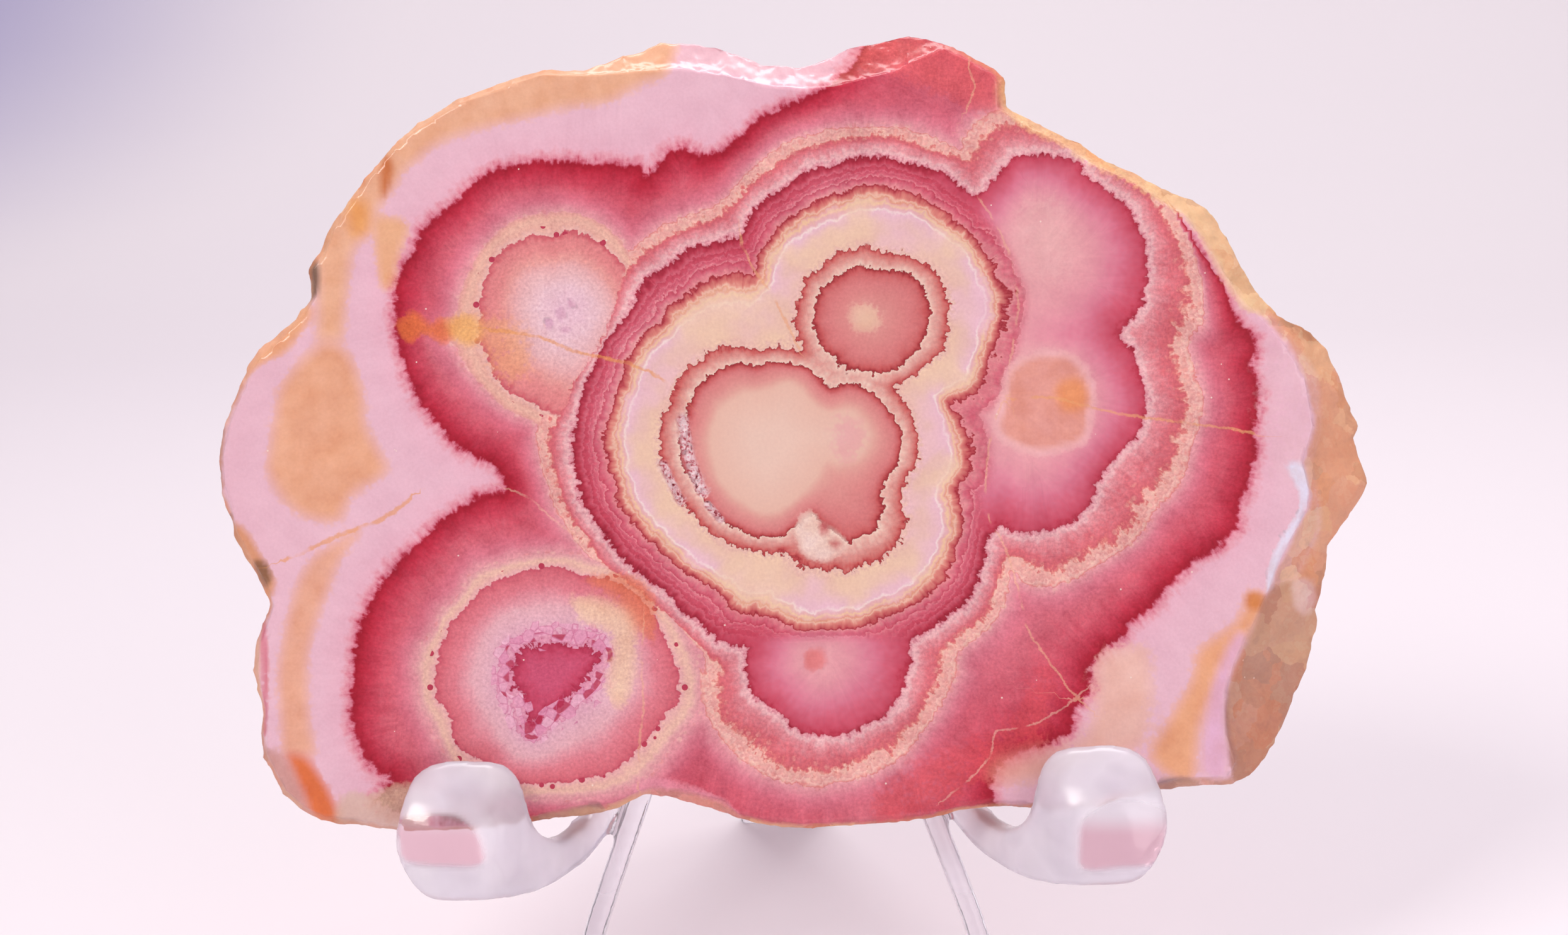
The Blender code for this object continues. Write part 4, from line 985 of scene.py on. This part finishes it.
def pocketColor(at, color):
    # pockets: pale crystals, with painted shade in the dark holes and painted sparkle highlights on the
    # crystals
    sparkle = ramp(grain(at["place"], weave["sparkle"], 3, 0.6), 0.32, 0.68, [
        (0.32, 128, 28, 44), (0.4, 186, 82, 98), (0.46, 236, 182, 188), (0.56, 252, 236, 238),
        (0.68, 232, 176, 186)])
    return mixed(times(at["druse"], 0.9), color, sparkle)


def crustColor(at, color):
    # broken rim: tan and orange crags under a fine crust
    tree, place = at["tree"], at["place"]
    swirl = node(tree, "TexNoise", {"Vector": place, "Scale": weave["swirl"], "Detail": 3.0})
    bent = node(tree, "VectorMath", {0: swirl.outputs["Color"], 1: (3.0, 3.0, 3.0), 2: place},
                operation="MULTIPLY_ADD")
    crag = cells(bent.outputs[0], weave["crags"])
    crags = ramp(chances(crag)[0], 0, 1, [
        (0, 172, 122, 100), (0.2, 222, 146, 104), (0.4, 216, 160, 146), (0.6, 236, 192, 150),
        (0.8, 188, 140, 118), (1, 226, 132, 84)])
    crust = ramp(grain(place, weave["crust"], 4, 0.6), 0.3, 0.7, [
        (0.3, 140, 98, 74), (0.4, 206, 146, 104), (0.48, 238, 182, 130), (0.56, 228, 142, 88),
        (0.62, 246, 212, 166), (0.7, 236, 178, 130)])
    much = times(at["rim"], plus(times(at["cover"], -0.35), 0.82))
    return mixed(much, color, mixed(0.75, crust, crags))


def stoneMaterial():
    material, tree, shader = startMaterial("banded_rhodochrosite")
    at = stoneLayers(tree)
    at["tree"] = tree
    color = mixed(past(at["t"], bandAt["ringStart"]), heartColor(at), ringColor(at))
    color = mixed(past(at["t"], bandAt["fieldStart"]), color, fieldColor(at))
    for lay in (laceLumps, redDepths, nestColor, stainsAndPaintedHighlight, crackColor, grainColor, glintColor,
                pocketColor, crustColor):
        color = lay(at, color)
    wire(tree, color, shader.inputs["Base Color"])
    gloss = plus(times(at["rim"], 0.5), plus(times(at["speck"], 0.12), times(at["druse"], 0.1)))
    wire(tree, plus(gloss, stone["polish"]), shader.inputs["Roughness"])
    for name, value in stone["body"].items():
        shader.inputs[name].default_value = value
    crustRelief = times(at["rim"], grain(at["place"], weave["relief"], 5, 0.65))
    relief = plus(crustRelief, plus(times(at["speck"], 0.03), times(at["druse"], at["sugar"])))
    bump = node(tree, "Bump", {"Strength": 0.4, "Distance": 0.00012, "Height": relief})
    wire(tree, bump.outputs[0], shader.inputs["Normal"])
    return material


sliceObj = buildSlice()
shapeSlice(sliceObj)
paintSlice(sliceObj)
sliceObj.data.materials.append(stoneMaterial())
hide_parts("slice")
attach(sliceObj, "root")


easel = {
    "voxel": 0.36,           # mm, for the soft moulded skin
    "softening": 6,          # rounds of smoothing on the skin
    "bend": 1.49,            # how strongly the plastic bends light
    "clear": (252, 250, 254),
    # painted refraction: the stone's pink as it shows through the clear windows
    "paintedStonePink": (236, 176, 190),
    # painted refraction: two whites for the light that the thick, curved plastic bends towards the camera
    "paintedRefraction": ((253, 248, 252), (242, 234, 247)),
    "smear": 220.0,          # repeats for each m
    "haze": 130.0,
    "ripple": 110.0,
    "armMiddle": -2.15,      # mm, the middle between the two arms
    "armStart": (13, 17),    # mm from there where the painted white of the arms begins
    "armFoot": (-46, -44),   # mm, below this the legs are clear
    "armBack": (-9, -6),     # mm behind the face where the painted white ends
    "paintedPinkTop": (35.4, 37.6),  # mm below the middle where the stone's pink, painted on, shows in the windows
    "paintedPinkFrom": 24,         # mm to each side
    "windows": [             # where each hook is clear enough to see through, in face mm
        [(-37, -36.4), (-36, -35.8), (-33.7, -35.5), (-31.4, -35.6), (-30.1, -36.5), (-29.2, -37.8),
         (-28.9, -40.1), (-32, -40.3), (-36, -39.9), (-36.6, -38)],
        [(26.5, -36), (27.7, -35), (29.4, -34.2), (32, -34.3), (34.4, -35.4), (34.2, -37.5), (33.5, -40),
         (30, -40.4), (26.6, -40.6), (26.2, -38.5)],
    ],
}


def clearMaterial():
    material, tree, shader = startMaterial("clear_moulded_acrylic")
    paintedRefraction, paintedStonePink = (layer(tree, name).outputs["Fac"] for name in ("paintedRefraction", "paintedStonePink"))
    at = node(tree, "TexCoord").outputs["Object"]
    smear = grain(at, easel["smear"], 4, 0.6)
    shader.inputs["IOR"].default_value = easel["bend"]
    # painted refraction: the stone's pink in the windows, and a milky white where the thick plastic bends
    # light towards the camera
    clear = mixed(paintedStonePink, tone(*easel["clear"]), tone(*easel["paintedStonePink"]))
    paintedRefractionColor = mixed(smear, *(tone(*color) for color in easel["paintedRefraction"]))
    wire(tree, mixed(paintedRefraction, clear, paintedRefractionColor), shader.inputs["Base Color"])
    haze = ramp(grain(at, easel["haze"], 2, 0.5), 0.35, 0.65, [(0.35, 0.4), (0.65, 0.68)])
    wire(tree, rest(times(paintedRefraction, haze)), shader.inputs["Transmission Weight"])
    wire(tree, plus(times(paintedRefraction, 0.16), times(smear, 0.1)), shader.inputs["Roughness"])
    ripple = grain(at, easel["ripple"], 2, 0.5)
    bump = node(tree, "Bump", {"Strength": 0.15, "Distance": 0.0002, "Height": ripple})
    wire(tree, bump.outputs[0], shader.inputs["Normal"])
    return material


def buildEasel():
    obj = copyNode("easel", "clear_easel")
    bpy.ops.object.mode_set(mode="OBJECT")
    skin = obj.modifiers.new("skin", "REMESH")
    skin.mode = "VOXEL"
    skin.voxel_size = easel["voxel"] * mm
    bpy.ops.object.modifier_apply(modifier="skin")
    bpy.ops.object.mode_set(mode="EDIT")
    bpy.ops.mesh.select_all(action="SELECT")
    bpy.ops.mesh.vertices_smooth(factor=0.5, repeat=easel["softening"])
    bpy.ops.object.mode_set(mode="OBJECT")
    bpy.ops.object.shade_smooth()
    # painted refraction: milky white, with less transmission, where the thick, curved plastic bends light
    # towards the camera; clear in the windows
    places = toFace(pointsOf(obj))
    u, v = places[:, 0], places[:, 1]
    arms = easeStep(np.abs(u - easel["armMiddle"]), *easel["armStart"]) * easeStep(v, *easel["armFoot"])
    paintedRefraction = 0.15 + 0.85 * arms * easeStep(places[:, 2], *easel["armBack"])
    for window in easel["windows"]:
        far, arc, side = reach(places[:, :2], traced(window))
        paintedRefraction *= 0.22 + 0.78 * easeStep(far * side, -0.35, 0.35)
    store(obj, "paintedRefraction", "FLOAT", paintedRefraction)
    # painted refraction: the stone's pink, below the slice and out to each side, where the plastic is
    # clear
    paintedStonePink = easeStep(-v, *easel["paintedPinkTop"]) * (1 - paintedRefraction) * (np.abs(u) > easel["paintedPinkFrom"])
    store(obj, "paintedStonePink", "FLOAT", paintedStonePink)
    print("easel:", len(obj.data.vertices), "points")
    return obj


easelObj = buildEasel()
easelObj.data.materials.append(clearMaterial())
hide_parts("easel")
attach(easelObj, "root")


studio = {
    "paper": ((240, 232, 238), (243, 236, 240)),
    "haze": (168, 162, 204),         # painted shade: a soft darker lavender corner on the paper behind
    "paintedShadeMiddle": (-0.28, 0.5, 0.06),
    "paintedShadeReach": (0.03, 0.19),
    "grain": 3.0,                    # repeats for each m
    "dull": 0.6,
    "wide": 1.6,                     # m
    "front": -0.9,
    "back": 0.55,
    "top": 1.2,
    "curve": 0.25,                   # m, radius where the paper rises
    "lights": [                      # name, place, target, size, power, colour
        ("window", (-0.44, -0.46, 0.64), (0, 0, 0.05), (0.3, 0.26), 2.8, (1.0, 0.97, 0.93)),
        ("fill", (0.4, -0.5, 0.3), (0, 0, 0.05), (0.5, 0.5), 1.2, (1.0, 0.97, 0.98)),
        ("overhead", (0.0, 0.12, 0.5), (0, 0, 0.05), (0.3, 0.12), 1.0, (1.0, 1.0, 1.0)),
        ("backdrop", (0.3, 0.1, 0.62), (0.15, 0.42, 0.02), (0.4, 0.3), 0.76, (1.0, 0.98, 0.94)),
    ],
    "sky": (240, 231, 243),
    "skyPower": 0.38,
    "lens": 60.56,                   # mm, on a 36 mm wide sensor
    "eye": (-0.00108, -0.00346, 0.25),  # m, from the middle of the face
}


def paperMaterial():
    material, tree, shader = startMaterial("pale_paper")
    at = node(tree, "TexCoord").outputs["Object"]
    shades = [(place, *color) for place, color in zip((0.3, 0.7), studio["paper"])]
    tint = ramp(grain(at, studio["grain"], 2, 0.5), 0.3, 0.7, shades)
    # painted shade: the paper turns darker lavender round a point behind on the left
    far = node(tree, "VectorMath", {0: at, 1: studio["paintedShadeMiddle"]}, operation="DISTANCE").outputs["Value"]
    paintedShadeMask = rest(step(far, *studio["paintedShadeReach"]))
    wire(tree, mixed(paintedShadeMask, tint, tone(*studio["haze"])), shader.inputs["Base Color"])
    shader.inputs["Roughness"].default_value = studio["dull"]
    return material


def buildStage():
    # a sheet of paper: its back edge is drawn on, up a curve and then straight up
    back, bend = studio["back"], studio["curve"]
    bpy.ops.object.select_all(action="DESELECT")
    bpy.ops.mesh.primitive_plane_add(size=1, location=(0, 0, 0))
    floor = bpy.context.object
    floor.name = "paper_sweep"
    for vertex in floor.data.vertices:
        vertex.co.x *= studio["wide"]
        vertex.co.y = studio["front"] if vertex.co.y < 0 else back - bend
    bpy.ops.object.mode_set(mode="EDIT")
    bpy.ops.mesh.select_mode(type="EDGE")
    bpy.ops.mesh.select_all(action="DESELECT")
    bpy.ops.object.mode_set(mode="OBJECT")
    for edge in floor.data.edges:
        edge.select = all(floor.data.vertices[k].co.y > 0 for k in edge.vertices)
    bpy.ops.object.mode_set(mode="EDIT")
    at = Vector((0, back - bend, 0))
    rise = [Vector((0, back - bend + bend * math.sin(turn), bend - bend * math.cos(turn)))
            for turn in np.linspace(0.13, math.pi / 2, 12)]
    for place in rise + [Vector((0, back, studio["top"]))]:
        bpy.ops.mesh.extrude_region_move(TRANSFORM_OT_translate={"value": place - at})
        at = place
    bpy.ops.object.mode_set(mode="OBJECT")
    floor.data.shade_smooth()
    floor.data.materials.append(paperMaterial())
    print("paper laid")


def addLight(name, place, target, size, power, color):
    data = bpy.data.lights.new(name, "AREA")
    data.shape = "RECTANGLE"
    data.size, data.size_y = size
    data.energy = power
    data.color = color
    lamp = bpy.data.objects.new(name, data)
    bpy.context.scene.collection.objects.link(lamp)
    lamp.location = place
    lamp.rotation_euler = (Vector(target) - Vector(place)).to_track_quat("-Z", "Y").to_euler()


def setCamera():
    data = bpy.data.cameras.new("camera")
    data.lens = studio["lens"]
    data.sensor_width = 36
    data.clip_start = 0.01
    camera = bpy.data.objects.new("camera", data)
    bpy.context.scene.collection.objects.link(camera)
    camera.matrix_world = faceFrame @ Matrix.Translation(studio["eye"])
    bpy.context.scene.camera = camera


buildStage()
for light in studio["lights"]:
    addLight(*light)
world = bpy.data.worlds.new("studio")
world.use_nodes = True
sky = world.node_tree.nodes["Background"]
sky.inputs["Color"].default_value = tone(*studio["sky"])
sky.inputs["Strength"].default_value = studio["skyPower"]
bpy.context.scene.world = world
setCamera()
bpy.context.scene.view_settings.view_transform = "Standard"
print("studio lit")

bpy.context.view_layer.update()
